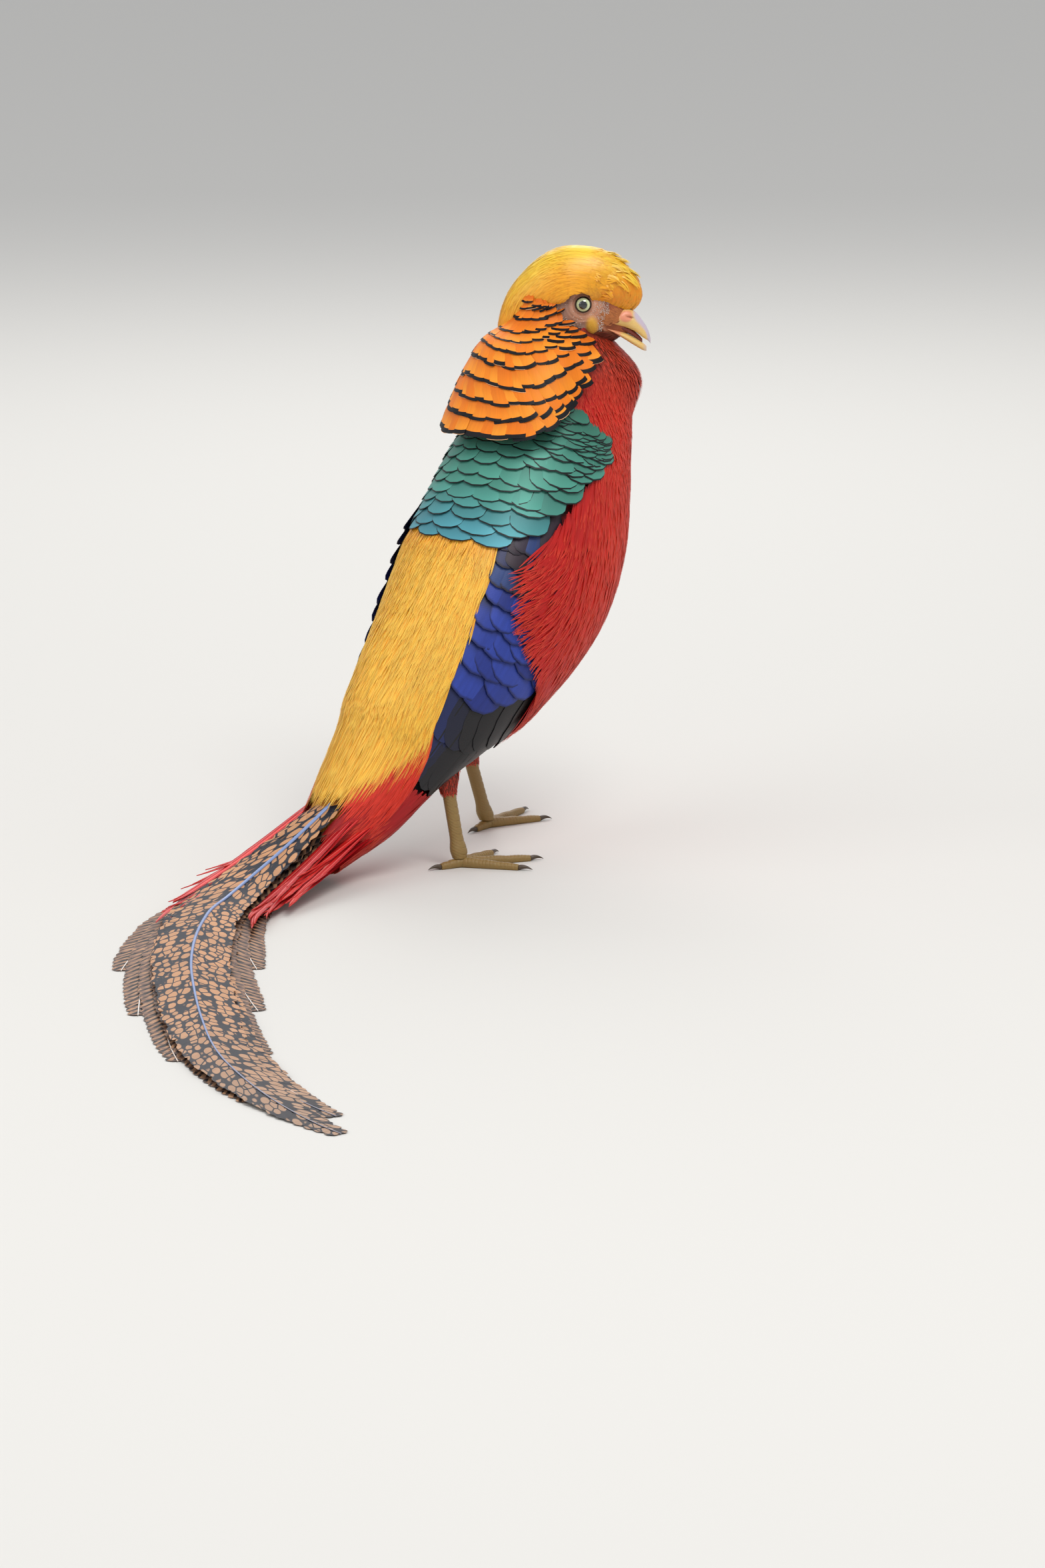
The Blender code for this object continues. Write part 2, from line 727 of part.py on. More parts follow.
def cape():
    """The cape: a core round the neck and tiers of square-ended vanes laid over one another."""
    columns = columns_between(8 - CAPE_SIDE, CAPE_SIDE - 8)
    sections = []
    for share in (0, 0.2, 0.4, 0.6, 0.8, 1):
        places = [(mix(CAPE_START, table_row(CAPE_EDGES, abs(angle))[1] - 0.1, share), angle) for angle in columns]
        upper = [trunk_point(*place, cape_core(*place)) for place in places]
        lower = [trunk_point(*place, flesh_rise(*place) - GAP) for place in places]
        sections.append((upper, lower))
    body = link(make_mesh("cape", *blade_of(sections), "plumage_cape"))
    vanes = []
    tiers = 5
    for tier in range(tiers):
        count = 8 - tier % 2
        for i in range(count):
            angle = mix(-106, 106, (i + 0.5) / count)
            low, top = table_row(CAPE_EDGES, abs(angle))
            step = (top - low) / (tiers + 1)
            tip = (low + step * tier, angle)
            root = (max(tip[0] + 2.0 * step, CAPE_START + 0.15), angle * 0.95)
            rise = functools.partial(cape_rise, root, tip)
            width = breadth(*tip, cape_reach(*tip), 1.08 * 212 / count)
            vanes.append(vane(trunk_point, root, tip, width, rise, SQUARE_END, thick=0.8, tilt=shingle(angle)))
    fuse(body, vanes)
    cut(body, neck_form("cutter", GAP))
    return cut(body, skull_form("cutter", GAP))


def cape_rise(root, tip, share):
    return mix(cape_core(*root) - 1.4, cape_reach(*tip), share)


def back_tract(name, rows, columns, material):
    """A core of down on the trunk, from which vanes or locks grow."""
    return link(slab(name, rows, columns, lambda s, a: flesh_rise(s, a) + GAP, core_top, material))


def lay(root, low, high, share):
    """Height along a feather of the trunk: sunk in its core at the root, then rising to its tip."""
    start = core_top(*root) - ROOT_DEPTH
    return mix(start, mix(low, high, share), min(share * 1.6, 1.0))


def shingle(angle):
    """Tilt of a vane on the back, so that each one's outer edge lies over the next one's inner edge."""
    return TILT * math.copysign(min(abs(angle) / 12, 1.0), angle)


def mantle():
    """The scale feathers of the upper back: broad round vanes in tiers."""
    rows = (MANTLE_END + SEAM, 8, 9, 9.7, NECK_START - SEAM)
    columns = columns_between(SEAM_SIDE - MANTLE_SIDE, MANTLE_SIDE - SEAM_SIDE)
    body = back_tract("mantle", rows, columns, "plumage_green")
    vanes = []
    for tier, count in enumerate((6, 7, 6)):
        for i in range(count):
            angle = mix(-86, 86, (i + 0.5) / count)
            low = 6.9 + 1.6 * (abs(angle) / 90) ** 2.5
            tip_s = mix(low, 9.8, tier / 3)
            root = (min(tip_s + 1.4, 10.15), angle * 0.95)
            rise = functools.partial(lay, root, -3.6, 0.6)
            width = breadth(tip_s, angle, 0, 1.06 * 172 / count)
            vanes.append(vane(trunk_point, root, (tip_s, angle), width, rise, ROUND_END, tilt=shingle(angle)))
    return fuse(body, vanes)


def rump():
    """The golden back and rump: long fine locks that hang over the root of the tail."""
    rows = (TRUNK_END, 2, 3, 4, 5, 6, MANTLE_END - SEAM)
    columns = columns_between(SEAM_SIDE - RUMP_SIDE, RUMP_SIDE - SEAM_SIDE)
    body = back_tract("rump", rows, columns, "plumage_gold")
    random.seed(SEED + 2)
    locks = []
    for tier in range(5):
        count = 7 - tier % 2
        root_s = 6.9 - 1.0 * tier
        for i in range(count):
            angle = mix(-43, 43, (i + 0.5) / count)
            tip = (root_s - random.uniform(2.05, 2.35), angle)
            root = (root_s, angle)
            high = -3.2 if root_s > 6.5 else -1.0
            rise = functools.partial(lay, root, -4.6, high)
            locks.append(lock(trunk_point, root, tip, 12.5, rise, LOCK))
    return fuse(body, locks)


# Tiers of a folded wing: station of the roots and of the tips, first and last angle, count, width and
# height of the tips: scapulars, wrist, median and greater coverts, secondaries, primaries.
WING_TIERS = (
    (7.0, 5.7, 52, 70, 3, 13, -4.8),
    (6.7, 5.6, 82, 90, 1, 18, -4.6),
    (6.0, 4.9, 54, 88, 3, 17, -4.0),
    (5.2, 3.9, 51, 89, 4, 14, -3.8),
    (4.4, 2.2, 53, 89, 4, 14.5, -3.4),
    (4.5, 2.6, 100, 112, 2, 14.5, -3.6),
    (3.6, 1.15, 80, 93, 2, 13, -6.4),
    (3.4, 1.5, 108, 120, 2, 13, -6.4),
)


WING_SHARES = (0, 0.2, 0.4, 0.6, 0.8, 1)  # where the columns of a wing's core lie, from its top to its edge


def wing_lift(side, angle):
    """How much higher than on the right the vanes of one wing lie: most near the back."""
    return WING_LIFT[side] * (1 - smooth_step(66, 88, abs(angle)))


def wing(side, sign):
    """A folded wing: its core, then scapulars, coverts, secondaries and primaries in tiers."""
    rows = (WING_END, 3, 4, 5, 6, MANTLE_END - SEAM)

    def top(s, angle):
        return core_top(s, angle) + 0.5 * wing_lift(side, angle)

    sections = []
    for s in rows:
        columns = [sign * mix(WING_TOP + SEAM_SIDE, wing_low(s) - SEAM_SIDE, share) for share in WING_SHARES]
        upper = [trunk_point(s, angle, top(s, angle)) for angle in columns]
        lower = [trunk_point(s, angle, flesh_rise(s, angle) - GAP) for angle in columns]
        sections.append((upper, lower))
    body = link(make_mesh(f"wing_{side}", *blade_of(sections), "plumage_blue"))
    cut(body, trunk_form("cutter", GAP))
    vanes = []
    for root_s, tip_s, first, last, count, width, high in WING_TIERS:
        for i in range(count):
            angle = mix(first, last, (i + 0.5) / count)
            root = (root_s, sign * angle)
            tip = (tip_s + 0.12 * abs(i - count / 2), sign * angle)

            def rise(share, start=top(*root) - ROOT_DEPTH, end=high + wing_lift(side, angle)):
                return mix(start, end, share**0.7)

            outline = ROUND_END if root_s > 5 else LANCE
            vanes.append(vane(trunk_point, root, tip, width, rise, outline, tilt=sign * TILT))
    fuse(body, vanes)
    cut(body, thigh_form(side, THIGH_RADIUS + GAP, GAP))
    return cut(body, tarsus_form(side, GAP))


def tail_base_rise(s, angle):
    return -8.0


def stack_height(order, distance):
    """Height of a tail feather above the floor: on top of those below it that still run on."""
    lengths = [CENTRAL_LENGTH, CENTRAL_LENGTH - 30, *(length for length, _ in SIDE_FEATHERS)]
    below = sum(1 - smooth_step(length - 70, length + 10, distance) for length in lengths[order + 1 :])
    root_share = max(1 - distance / TAIL_FALL, 0.0) ** 2
    return TAIL_THICK / 2 + TAIL_STEP * below - TAIL_ROOT_STEP * order * root_share


def tail():
    """The root of the tail and its feathers: a broad central pair over four pairs at the sides."""
    rows = (-0.15, 0.1, 0.5, TRUNK_END - 0.03)
    body = link(make_mesh("tail", *skin_of(trunk_rings(rows, tail_base_rise)), "plumage_tail"))
    feathers = []
    for order, (length, start, end) in enumerate(((CENTRAL_LENGTH, 5, -6), (CENTRAL_LENGTH - 30, -4, 12))):
        feathers.append(tail_feather(order, length, start, end, CENTRAL_WIDTH))
    for order, (length, spread) in enumerate(SIDE_FEATHERS, 2):
        for sign in (-1, 1):
            feathers.append(tail_feather(order, length, sign * (order + 2.5), sign * spread, SIDE_WIDTH))
    return fuse(body, feathers)


def tail_feather(order, length, start, end, width):
    """One feather of the tail, its root in the base and its tip laid on the floor."""
    outline = TAIL_VANE

    def rise(share):
        return stack_height(order, share * length)

    return vane(tail_point, (0.0, start), (length, end), width, rise, outline, TAIL_THICK, arched=True)


def tail_coverts():
    """The long scarlet coverts that fall beside the root of the tail and over its feathers."""
    rows = (0.25, 0.5, TRUNK_END - 0.05)
    columns = columns_between(32, 328)
    body = link(slab("tail_coverts", rows, columns, covert_core_base, covert_core_top, "plumage_scarlet"))
    vanes = []
    for angle, length, right, left, high in COVERTS:
        for sign, spread in ((1, right), (-1, left)):
            start, side, low = covert_root(sign * angle)
            rise = functools.partial(covert_rise, low, high, length)
            tip = (length, sign * spread)
            vanes.append(vane(tail_point, (start, side), tip, COVERT_WIDTH, rise, COVERT_VANE))
    return fuse(body, vanes)


def covert_core_base(s, angle):
    return tail_base_rise(s, angle) + GAP


def covert_core_top(s, angle):
    return tail_base_rise(s, angle) + GAP + 2.8


def covert_root(angle):
    """A root in the middle of the coverts' core, as distance, side and height along the tail."""
    x, y, z = trunk_point(COVERT_START, angle, covert_core_top(COVERT_START, angle) - 1.4)
    distance = TAIL_START[0] - x
    return distance, -y, z - tail_lift(distance)


def covert_rise(low, high, length, share):
    return mix(low, high, smooth_step(0, 70, share * length))


def thigh_form(side, radius, grow):
    """The feathered thigh round the heel: a drop that narrows to the top of the bare leg."""
    leg = LEGS[side]
    heel = np.array(leg["heel"], float)
    foot = np.array([*leg["foot"], 0.0])
    low = mix(foot, heel, THIGH_BOTTOM / heel[2])
    rows = (
        (low - (0, 0, grow), 0.42),
        (mix(low, heel, 0.3), 0.78),
        (mix(low, heel, 0.65), 1.0),
        (heel + (3, 0, 3), 0.95),
        (heel + (8, 0, 14 + grow), 0.6),
    )
    rings = []
    for centre, share in rows:
        angles = [math.tau * i / 10 for i in range(10)]
        reach = radius * share
        rings.append([centre + reach * np.array([1.25 * math.cos(a), math.sin(a), 0.0]) for a in angles])
    return make_mesh(f"thigh_{side}", *skin_of(rings), "plumage_red")


def tarsus_form(side, grow):
    """The bare leg with its scutes as low steps, from inside the thigh down to the foot."""
    leg = LEGS[side]
    heel = np.array(leg["heel"], float)
    foot = np.array([*leg["foot"], 0.0])
    top = THIGH_BOTTOM + 14 + grow
    rings = []
    scutes = 6
    for i in range(2 * scutes + 1):
        z = mix(ANKLE_HEIGHT, top, i / (2 * scutes))
        centre = mix(foot, heel, z / heel[2])
        swell = 0.35 if i % 2 else 0.0
        reach = TARSUS_RADIUS + swell + grow
        angles = [math.tau * j / 8 for j in range(8)]
        rings.append([centre + reach * np.array([1.2 * math.cos(a), math.sin(a), 0.0]) for a in angles])
    return make_mesh(f"tarsus_{side}", *skin_of(rings), "horn_leg")


def toe_path(start, heading, length, shares):
    turn = math.radians(heading)
    way = np.array([math.cos(turn), math.sin(turn), 0.0])
    return [start + way * length * share for share in shares], way


def floor_tube(name, centres, way, radii, material=None):
    """A tube along the floor, flat below where it rests."""
    across = np.cross((0, 0, 1), way)
    rings = []
    for centre, radius in zip(centres, radii):
        ring = []
        for i in range(6):
            turn = math.tau * i / 6
            height = max(centre[2] + radius * math.sin(turn), 0.0)
            ring.append([*(centre + radius * math.cos(turn) * across)[:2], height])
        rings.append(np.array(ring))
    return make_mesh(name, *skin_of(rings), material)


def foot(side):
    """Four toes with their pads on one ankle block, and a claw on each toe as a node of its own."""
    leg = LEGS[side]
    centre = np.array([*leg["foot"], 0.0])
    angles = [math.tau * i / 10 for i in range(10)]
    rings = []
    for z, share in ((0.0, 1.5), (3.0, 1.75), (7.0, 1.35), (ANKLE_HEIGHT - GAP, 1.0)):
        reach = TARSUS_RADIUS * share
        rings.append([centre + (1.2 * reach * math.cos(a), reach * math.sin(a), z) for a in angles])
    body = link(make_mesh(f"foot_{side}", *skin_of(rings), "horn_leg"))
    toes = []
    for i, (heading, length) in enumerate(zip(leg["toes"], TOE_LENGTHS)):
        start = centre + (0, 0, TOE_RADIUS - 0.5)
        shares = (0, 0.3, 0.42, 0.62, 0.74, 1.0)
        swell = (1.05, 0.9, 1.08, 0.85, 1.0, 0.62)
        centres, way = toe_path(start, heading, length, shares)
        for point, share in zip(centres, swell):
            point[2] = TOE_RADIUS * share - 0.5
        toes.append(floor_tube("toe", centres, way, [TOE_RADIUS * share for share in swell]))
        end = centres[-1] + way * GAP
        claw_shares = (0, 0.5, 1.0)
        claw_centres, _ = toe_path(end, heading, CLAW_LENGTH, claw_shares)
        for point, height in zip(claw_centres, (1.6, 1.5, 0.3)):
            point[2] = height
        name = f"claw_{side}_{i + 1}"
        link(floor_tube(name, claw_centres, way, (1.7, 1.2, 0.3), "horn_claw"))
    return fuse(body, toes)


def legs():
    for side in LEGS:
        thigh = link(thigh_form(side, THIGH_RADIUS, 0.0))
        cut(thigh, tarsus_form(side, GAP))
        tarsus = link(tarsus_form(side, 0.0))
        tarsus.name = f"tarsus_{side}"
        foot(side)


def make_materials():
    made = {}
    for name, (colour, roughness, metallic) in MATERIALS.items():
        material = bpy.data.materials.new(name)
        material.use_nodes = True
        shader = material.node_tree.nodes["Principled BSDF"]
        channels = [int(colour[i : i + 2], 16) / 255 for i in (0, 2, 4)]
        linear = [c / 12.92 if c <= 0.04045 else ((c + 0.055) / 1.055) ** 2.4 for c in channels]
        shader.inputs["Base Color"].default_value = (*linear, 1)
        shader.inputs["Roughness"].default_value = roughness
        shader.inputs["Metallic"].default_value = metallic
        made[name] = material
    return made


def centre_on_floor():
    """Moves every part so that the middle of the whole box lies over the origin."""
    corners = []
    for obj in PARTS.objects:
        corners += [np.array(vert.co) for vert in obj.data.vertices]
    low, high = np.min(corners, axis=0), np.max(corners, axis=0)
    middle = (low + high) / 2
    for obj in PARTS.objects:
        obj.location = (-middle[0], -middle[1], 0)


for old in list(bpy.data.objects):
    bpy.data.objects.remove(old)
PARTS = bpy.data.collections.new("golden_pheasant")
bpy.context.scene.collection.children.link(PARTS)
MATERIAL = make_materials()

torso()
neck()
head()
bill()
eyes()
crest()
cape()
mantle()
rump()
wing("right", 1)
wing("left", -1)
legs()
tail()
tail_coverts()
centre_on_floor()
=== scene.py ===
"""Looks of the golden pheasant cock: its skin, every feather tract, bill, eyes, legs and a plain stage.

Sizes are in millimetres in the bird's own frame, as the solids were drawn: it faces +X, its right is -Y
and the floor is z = 0. to_world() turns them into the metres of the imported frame. A tract of feathers is
laid on a surface(along, across, rise), such as the trunk, the crest or the tail, by feathers(), which
makes closed, tapered vanes or strands that follow that surface.
"""

import math

import bmesh
import bpy
import numpy as np
from bpy.props import FloatProperty, FloatVectorProperty, IntProperty, PointerProperty
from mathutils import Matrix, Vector


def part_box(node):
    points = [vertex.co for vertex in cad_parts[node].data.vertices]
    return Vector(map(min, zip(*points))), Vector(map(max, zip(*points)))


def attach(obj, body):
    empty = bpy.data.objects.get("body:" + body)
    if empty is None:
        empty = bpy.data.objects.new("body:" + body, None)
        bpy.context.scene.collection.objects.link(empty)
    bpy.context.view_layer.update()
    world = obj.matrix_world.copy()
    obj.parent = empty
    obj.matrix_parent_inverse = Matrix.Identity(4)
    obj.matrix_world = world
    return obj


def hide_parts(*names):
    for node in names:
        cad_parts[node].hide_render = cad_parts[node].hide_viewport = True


bl_info = {
    "name": "Golden pheasant plumage",
    "version": (1, 0, 0),
    "blender": (4, 5, 0),
    "location": "3D View > Sidebar > Pheasant",
    "description": "Dresses the golden pheasant's solids with skin, feathers, bill, eyes and legs",
    "category": "Object",
}

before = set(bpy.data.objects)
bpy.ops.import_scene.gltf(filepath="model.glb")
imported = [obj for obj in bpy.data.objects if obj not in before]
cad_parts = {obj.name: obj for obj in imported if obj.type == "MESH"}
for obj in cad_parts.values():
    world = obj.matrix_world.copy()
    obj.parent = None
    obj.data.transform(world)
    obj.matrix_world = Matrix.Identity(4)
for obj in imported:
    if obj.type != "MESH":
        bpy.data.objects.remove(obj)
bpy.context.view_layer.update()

# Stations of the spine: x, y, z, heading in degrees, then how far the closed coat stands from the
# spine at the back, at the breast and at the side.
TRUNK = (
    (-128, 0, 20, 0, 24, 15, 24),
    (-98, 0, 38, 0, 39, 18, 34),
    (-66, 0, 62, 0, 54, 20, 42),
    (-47, 0, 82, 0, 60, 34, 49),
    (-28, 0, 103, 0, 64, 48, 55),
    (-9, 0, 126, 0, 67, 60, 60),
    (8, 0, 151, 0, 69, 73, 63),
    (23, 0, 178, 0, 69, 82, 64),
    (37, 0, 210, 0, 64, 83, 61),
    (49, 0, 243, 0, 55, 76, 55),
    (58, 0, 268, 0, 44, 70, 49),
    (66, -2, 292, -15, 35, 58, 42),
    (74, -6, 315, -32, 27, 50, 34),
    (79, -9, 336, -42, 17, 20, 19),
    (82, -14, 352, -46, 27, 22, 17),
)
UNDER_VANES = 8.5  # how deep the skin lies under the vanes of back and wings
DOWN = 2.6  # and under the fine coat elsewhere
# The head: the spot midway between the eyes, and its heading in degrees.
HEAD_PLACE = (82, -15, 352)
HEAD_HEADING = -46
# Stations of the skull: u ahead of the eyes, height of the middle, half height and half width.
SKULL = (
    (-33, -8, 1, 1),
    (-31, -8, 8, 7),
    (-26, -6, 15, 12),
    (-14, -3, 21, 15.4),
    (-2, -3, 22, 14.6),
    (8, -6, 19, 13.0),
    (17, -9, 15.5, 9.8),
    (23, -11.5, 11.5, 7.2),
    (27, -13.0, 9, 5.0),
    (29, -13.5, 1, 1),
)
EYE_SIDE = 10.6  # from the middle of the head to the middle of the eyeball
EYE_RADIUS = 6.2
LID_OPENING = 5.0  # radius of the opening between the lids
WATTLE = (5.6, -14.4, 3.7, 6.2)  # u, height, half length and half height
# Bill: u, height of the upper and of the lower edge, half width.
BILL_UPPER = (
    (14, -9.0, -13.9, 8.6),
    (18, -7.0, -14.6, 8.2),
    (22, -5.0, -15.4, 7.4),
    (27, -3.4, -16.6, 6.2),
    (33, -6.6, -19.3, 4.7),
    (38, -12.6, -23.2, 3.3),
    (41.3, -18.4, -25.2, 1.9),
    (42.8, -23.6, -27.0, 0.7),
)
BILL_LOWER = (
    (14, -15.4, -17.4, 7.8),
    (18, -16.9, -19.2, 7.4),
    (22, -18.3, -21.6, 6.7),
    (27, -20.1, -24.8, 5.6),
    (33, -23.4, -28.6, 4.0),
    (38, -26.8, -31.4, 2.3),
    (40.2, -28.6, -31.8, 0.9),
)
# The mouth's line: u, then the height of the top of the upper half's edge and of the lower half's bottom.
MOUTH = (
    (13, -14.2, -15.6),
    (16, -13.6, -17.6),
    (20, -13.0, -20.2),
    (24, -12.4, -23.0),
    (28, -11.6, -25.8),
)
# The lining that closes the mouth: u, height of its upper and of its lower edge, half width.
MOUTH_LINING = (
    (17, -11, -17, 4.4),
    (24, -14, -18.6, 4.0),
    (30, -17.2, -21.4, 3.0),
    (35, -21.2, -24.6, 1.6),
    (37.5, -24, -26.4, 0.6),
)
# The nostril's slit and the fleshy fold round it: u, height, half length and half height.
NOSTRIL = (29.8, -9.4, 2.4, 0.7)
NOSTRIL_FOLD = (27.5, -8.6, 5.0, 3.8)
# The bare skin of the face: u, then the height of its lower edge.
BARE_EDGE = ((-18, -6), (-8, -16), (0, -21), (6, -22), (11, -20), (15, -6))
BARE_TOP = 7.5  # height of its upper edge
FACE_TOP = 6  # over this height the crest covers the face
# Crest: polar rows about CREST_PIVOT in the head's upright plane: angle from straight ahead, radius of
# the skull below it, radius of the closed crest and its half width.
CREST_PIVOT = (-2.0, 0.0)
CREST = (
    (-12, 23, 31, 6),
    (-4, 26, 36, 8),
    (6, 28, 40, 11),
    (18, 27, 40, 14),
    (32, 25, 38.5, 16.5),
    (60, 22, 37, 19),
    (90, 20, 37, 20.5),
    (120, 22, 38, 21.5),
    (150, 26, 41, 21),
    (175, 34, 48, 19),
    (202, 45, 59, 14),
)
CREST_DEPTH = tuple((angle, closed - skull) for angle, skull, closed, _ in CREST)
TUFT_STRANDS = 12  # in each loose tuft at the forehead
# Rows of the cape, lowest first: the last angle, then stations of the tips at those of CAPE_ANGLES.
CAPE_ANGLES = (0, 20, 40, 54, 66, 80, 92, 104, 116)
CAPE_ROWS = (
    (78, (9.28, 9.27, 9.54, 10.1, 10.56, 11.0)),
    (104, (9.76, 9.78, 10.14, 10.47, 10.74, 11.08, 11.4, 11.8)),
    (114, (10.24, 10.3, 10.5, 10.72, 10.95, 11.33, 11.66, 11.98, 12.3)),
    (118, (10.78, 10.77, 10.9, 11.1, 11.4, 11.78, 12.06, 12.4, 12.75)),
    (101, (11.2, 11.2, 11.34, 11.62, 11.82, 12.2, 12.6, 13.0)),
    (90, (11.62, 11.6, 11.68, 11.94, 12.25, 12.78, 13.15)),
    (78, (12.0, 11.98, 12.1, 12.4, 12.75, 13.3)),
    (64, (12.36, 12.34, 12.5, 12.88, 13.35)),
    (54, (12.78, 12.78, 12.95, 13.5)),
    (50, (13.08, 13.12, 13.42, 13.85)),
    (43, (13.32, 13.36, 13.52, 13.7)),
)
# Angle, then the station where the cape starts: behind the bare face and under the crest.
CAPE_START = (
    (0, 13.75),
    (40, 13.78),
    (43, 13.74),
    (48, 13.5),
    (60, 13.22),
    (83, 13.04),
    (103, 12.8),
    (117, 12.68),
)
# Station, then how far the cape stands off the neck at the nape.
CAPE_BULGE = ((9.0, 11), (9.4, 15), (9.9, 20), (10.6, 24), (11.4, 26), (12.2, 25.5), (13.0, 23), (13.9, 18))
# Edges between the tracts of the trunk: station, then angle from the middle of the back.
RUMP_EDGE = (
    (0.8, 84),
    (1.5, 78),
    (1.9, 70),
    (2.6, 57),
    (3.5, 50),
    (4.4, 46),
    (5.6, 42),
    (7.2, 40),
    (8.2, 38),
)
RED_EDGE = (
    (0.4, 40),
    (1.5, 70),
    (1.8, 106),
    (2.3, 152),
    (4.4, 154),
    (4.8, 140),
    (5.2, 116),
    (5.6, 98),
    (6.6, 86),
    (7.4, 76),
    (8.0, 74),
    (8.6, 84),
    (9.2, 99),
    (9.8, 105),
    (10.2, 100),
    (10.5, 84),
    (10.9, 74),
    (11.5, 80),
    (12.4, 100),
    (13.2, 110),
)
# Angle, then the station of the mantle's highest and of its lowest tips there, and its outermost angle.
MANTLE_TOP = ((0, 10.7), (60, 10.6), (84, 10.3), (100, 10.05), (112, 10.2))
MANTLE_EDGE = ((0, 7.12), (37, 7.2), (47, 7.4), (61, 7.9), (70, 8.3), (85, 8.8), (100, 9.25), (112, 9.8))
MANTLE_SIDE = 108
# Station, then how many stations long the strands of breast and belly are.
RED_LENGTHS = ((0.3, 0.7), (2, 0.9), (5, 0.8), (8, 0.62), (11, 0.6), (12, 0.5), (13, 0.36))
SLIVERS = 160  # rosy strands over the top of the left wing
# Ranges on the bake map, along and across: of the trunk, of the face and of the crest.
TRACTS = (0, 14.8, -190, 190)
FACE_CHART = (-28, 20, -190, 190)
CREST_CHART = (-12, 205, -92, 92)
# The tail's middle line: where it starts, its heading at distances along it in millimetres, and the
# distance at which it reaches the floor.
TAIL_START = (-121, 0, 52)
TAIL_TURN = ((-20, 2), (0, 2), (70, 12), (160, 42), (300, 54), (420, 58), (540, 74), (700, 96))
TAIL_FALL = 125
CENTRAL_LENGTH = 640
CENTRAL_STEP = 30  # how much shorter the second central feather is
# Legs: where the foot stands, where the heel is, and the headings of the toes, the hind toe last.
LEGS = {
    "right": {"foot": (-43, -35), "heel": (-50, -22, 84), "toes": (-56, -22, 16, 168)},
    "left": {"foot": (43, 35), "heel": (4, 23, 88), "toes": (-14, 20, 54, -166)},
}
TOE_LENGTHS = (38, 47, 36, 15)
TOE_RADIUS = 3.3
CLAW_LENGTH = 9
ANKLE_HEIGHT = 11
TARSUS_RADIUS = 3.6
SCUTE_HEADING = -21  # where the broad scutes of the legs face, in degrees
CLAW_RADIUS = 1.75
THIGH_BOTTOM = 50
THIGH_TOP = 100
# Height above the floor, then the radius of the thigh, or of the leg that comes out of it.
THIGH_RADII = ((44, 3.4), (THIGH_BOTTOM, 4.4), (60, 7.6), (72, 9.8), (86, 10.4), (THIGH_TOP, 8.0))

# Camera of the photograph: its bearing and height in degrees, its distance, its focal length in pixels
# of the 1568 by 2352 frame, and where the frame's middle falls, right of and above the spot on the
# floor midway between the feet.
CAMERA_BEARING = -42
CAMERA_HEIGHT = 13
CAMERA_DISTANCE = 4000
FOCAL_PIXELS = 9200
FRAME_PIXELS = 2352
AIM_RIGHT = 30.9
AIM_UP = 40.9
CAMERA_SENSOR = 36
# Lamps: metres right of the spot that the camera aims at, towards the camera and up, then the share of
# the main light's power, and the size in metres.
LAMPS = {
    "key": (0.7, 1.6, 2.4, 1.0, 1.4),
    "fill": (-2.0, 1.0, 1.2, 0.3, 2.0),
    "rim": (0.0, -1.8, 2.0, 0.35, 1.5),
}
WORLD_LIGHT = 0.74
FLOOR_SIZE = 40

SEED = 1758
SHARP_ANGLE = 70  # edges sharper than this, in degrees, aren't shaded smooth on a feather
STATION = 25  # millimetres between two stations of the trunk
MM = 0.001

# Forms of a feather: outline (share of the length, then share of the half width), places across it, and
# how far the corners of its end are rounded back, as a share of the half width.
WIDE = (-1, -0.94, -0.8, -0.5, 0, 0.5, 0.8, 0.94, 1)
STRAND = (((0, 0.5), (0.2, 1.0), (0.7, 0.8), (1, 0.08)), (-1, 0, 1), 0.0)
SCALE = (((0, 0.3), (0.35, 0.85), (0.7, 1.0), (1, 0.96)), WIDE, 0.62)
COVERT = (((0, 0.3), (0.35, 0.85), (0.7, 1.0), (1, 0.96)), WIDE, 1.0)
SQUARE = (((0, 0.35), (0.3, 0.8), (0.7, 1.0), (1, 1.0)), (-1, -0.92, -0.5, 0, 0.5, 0.92, 1), 0.16)
QUILL = (
    ((0, 0.35), (0.3, 0.9), (0.7, 1.0), (0.9, 0.85), (1, 0.6)),
    (-1, -0.8, -0.4, 0, 0.4, 0.8, 1),
    0.7,
)
LANCE = (
    ((0, 0.25), (0.15, 0.6), (0.45, 1.0), (0.75, 0.8), (0.92, 0.4), (1, 0.06)),
    (-1, -0.5, 0, 0.5, 1),
    0.0,
)
BARBS = (((0, 1.0), (0.75, 1.0), (0.93, 0.7), (1, 0.15)), (-1, -0.9, 0, 0.9, 1), 0.0)


def linear(colour):
    """The linear colour of an sRGB hex value."""
    channels = [int(colour[i : i + 2], 16) / 255 for i in (0, 2, 4)]
    return tuple(c / 12.92 if c <= 0.04045 else ((c + 0.055) / 1.055) ** 2.4 for c in channels)


def mix(a, b, share):
    return a + (b - a) * share


def smooth_step(low, high, value):
    share = np.clip((np.asarray(value, float) - low) / (high - low), 0.0, 1.0)
    return share * share * (3 - 2 * share)


def bell(value, middle, width):
    """1 where the value is in the middle, falling off smoothly to both sides."""
    return np.exp(-(((value - middle) / width) ** 2))


def oval(u, w, form, power):
    """1 inside an oval and 0 outside it, the more sharply the higher power is."""
    at, level, long, tall = form
    return np.exp(-((((u - at) / long) ** 2 + ((w - level) / tall) ** 2) ** power))


def read(table, key):
    """The second column of a table at a key of its first."""
    keys, values = zip(*table)
    return np.interp(key, keys, values)


def unit(vectors):
    return vectors / np.maximum(np.linalg.norm(vectors, axis=-1, keepdims=True), 1e-9)


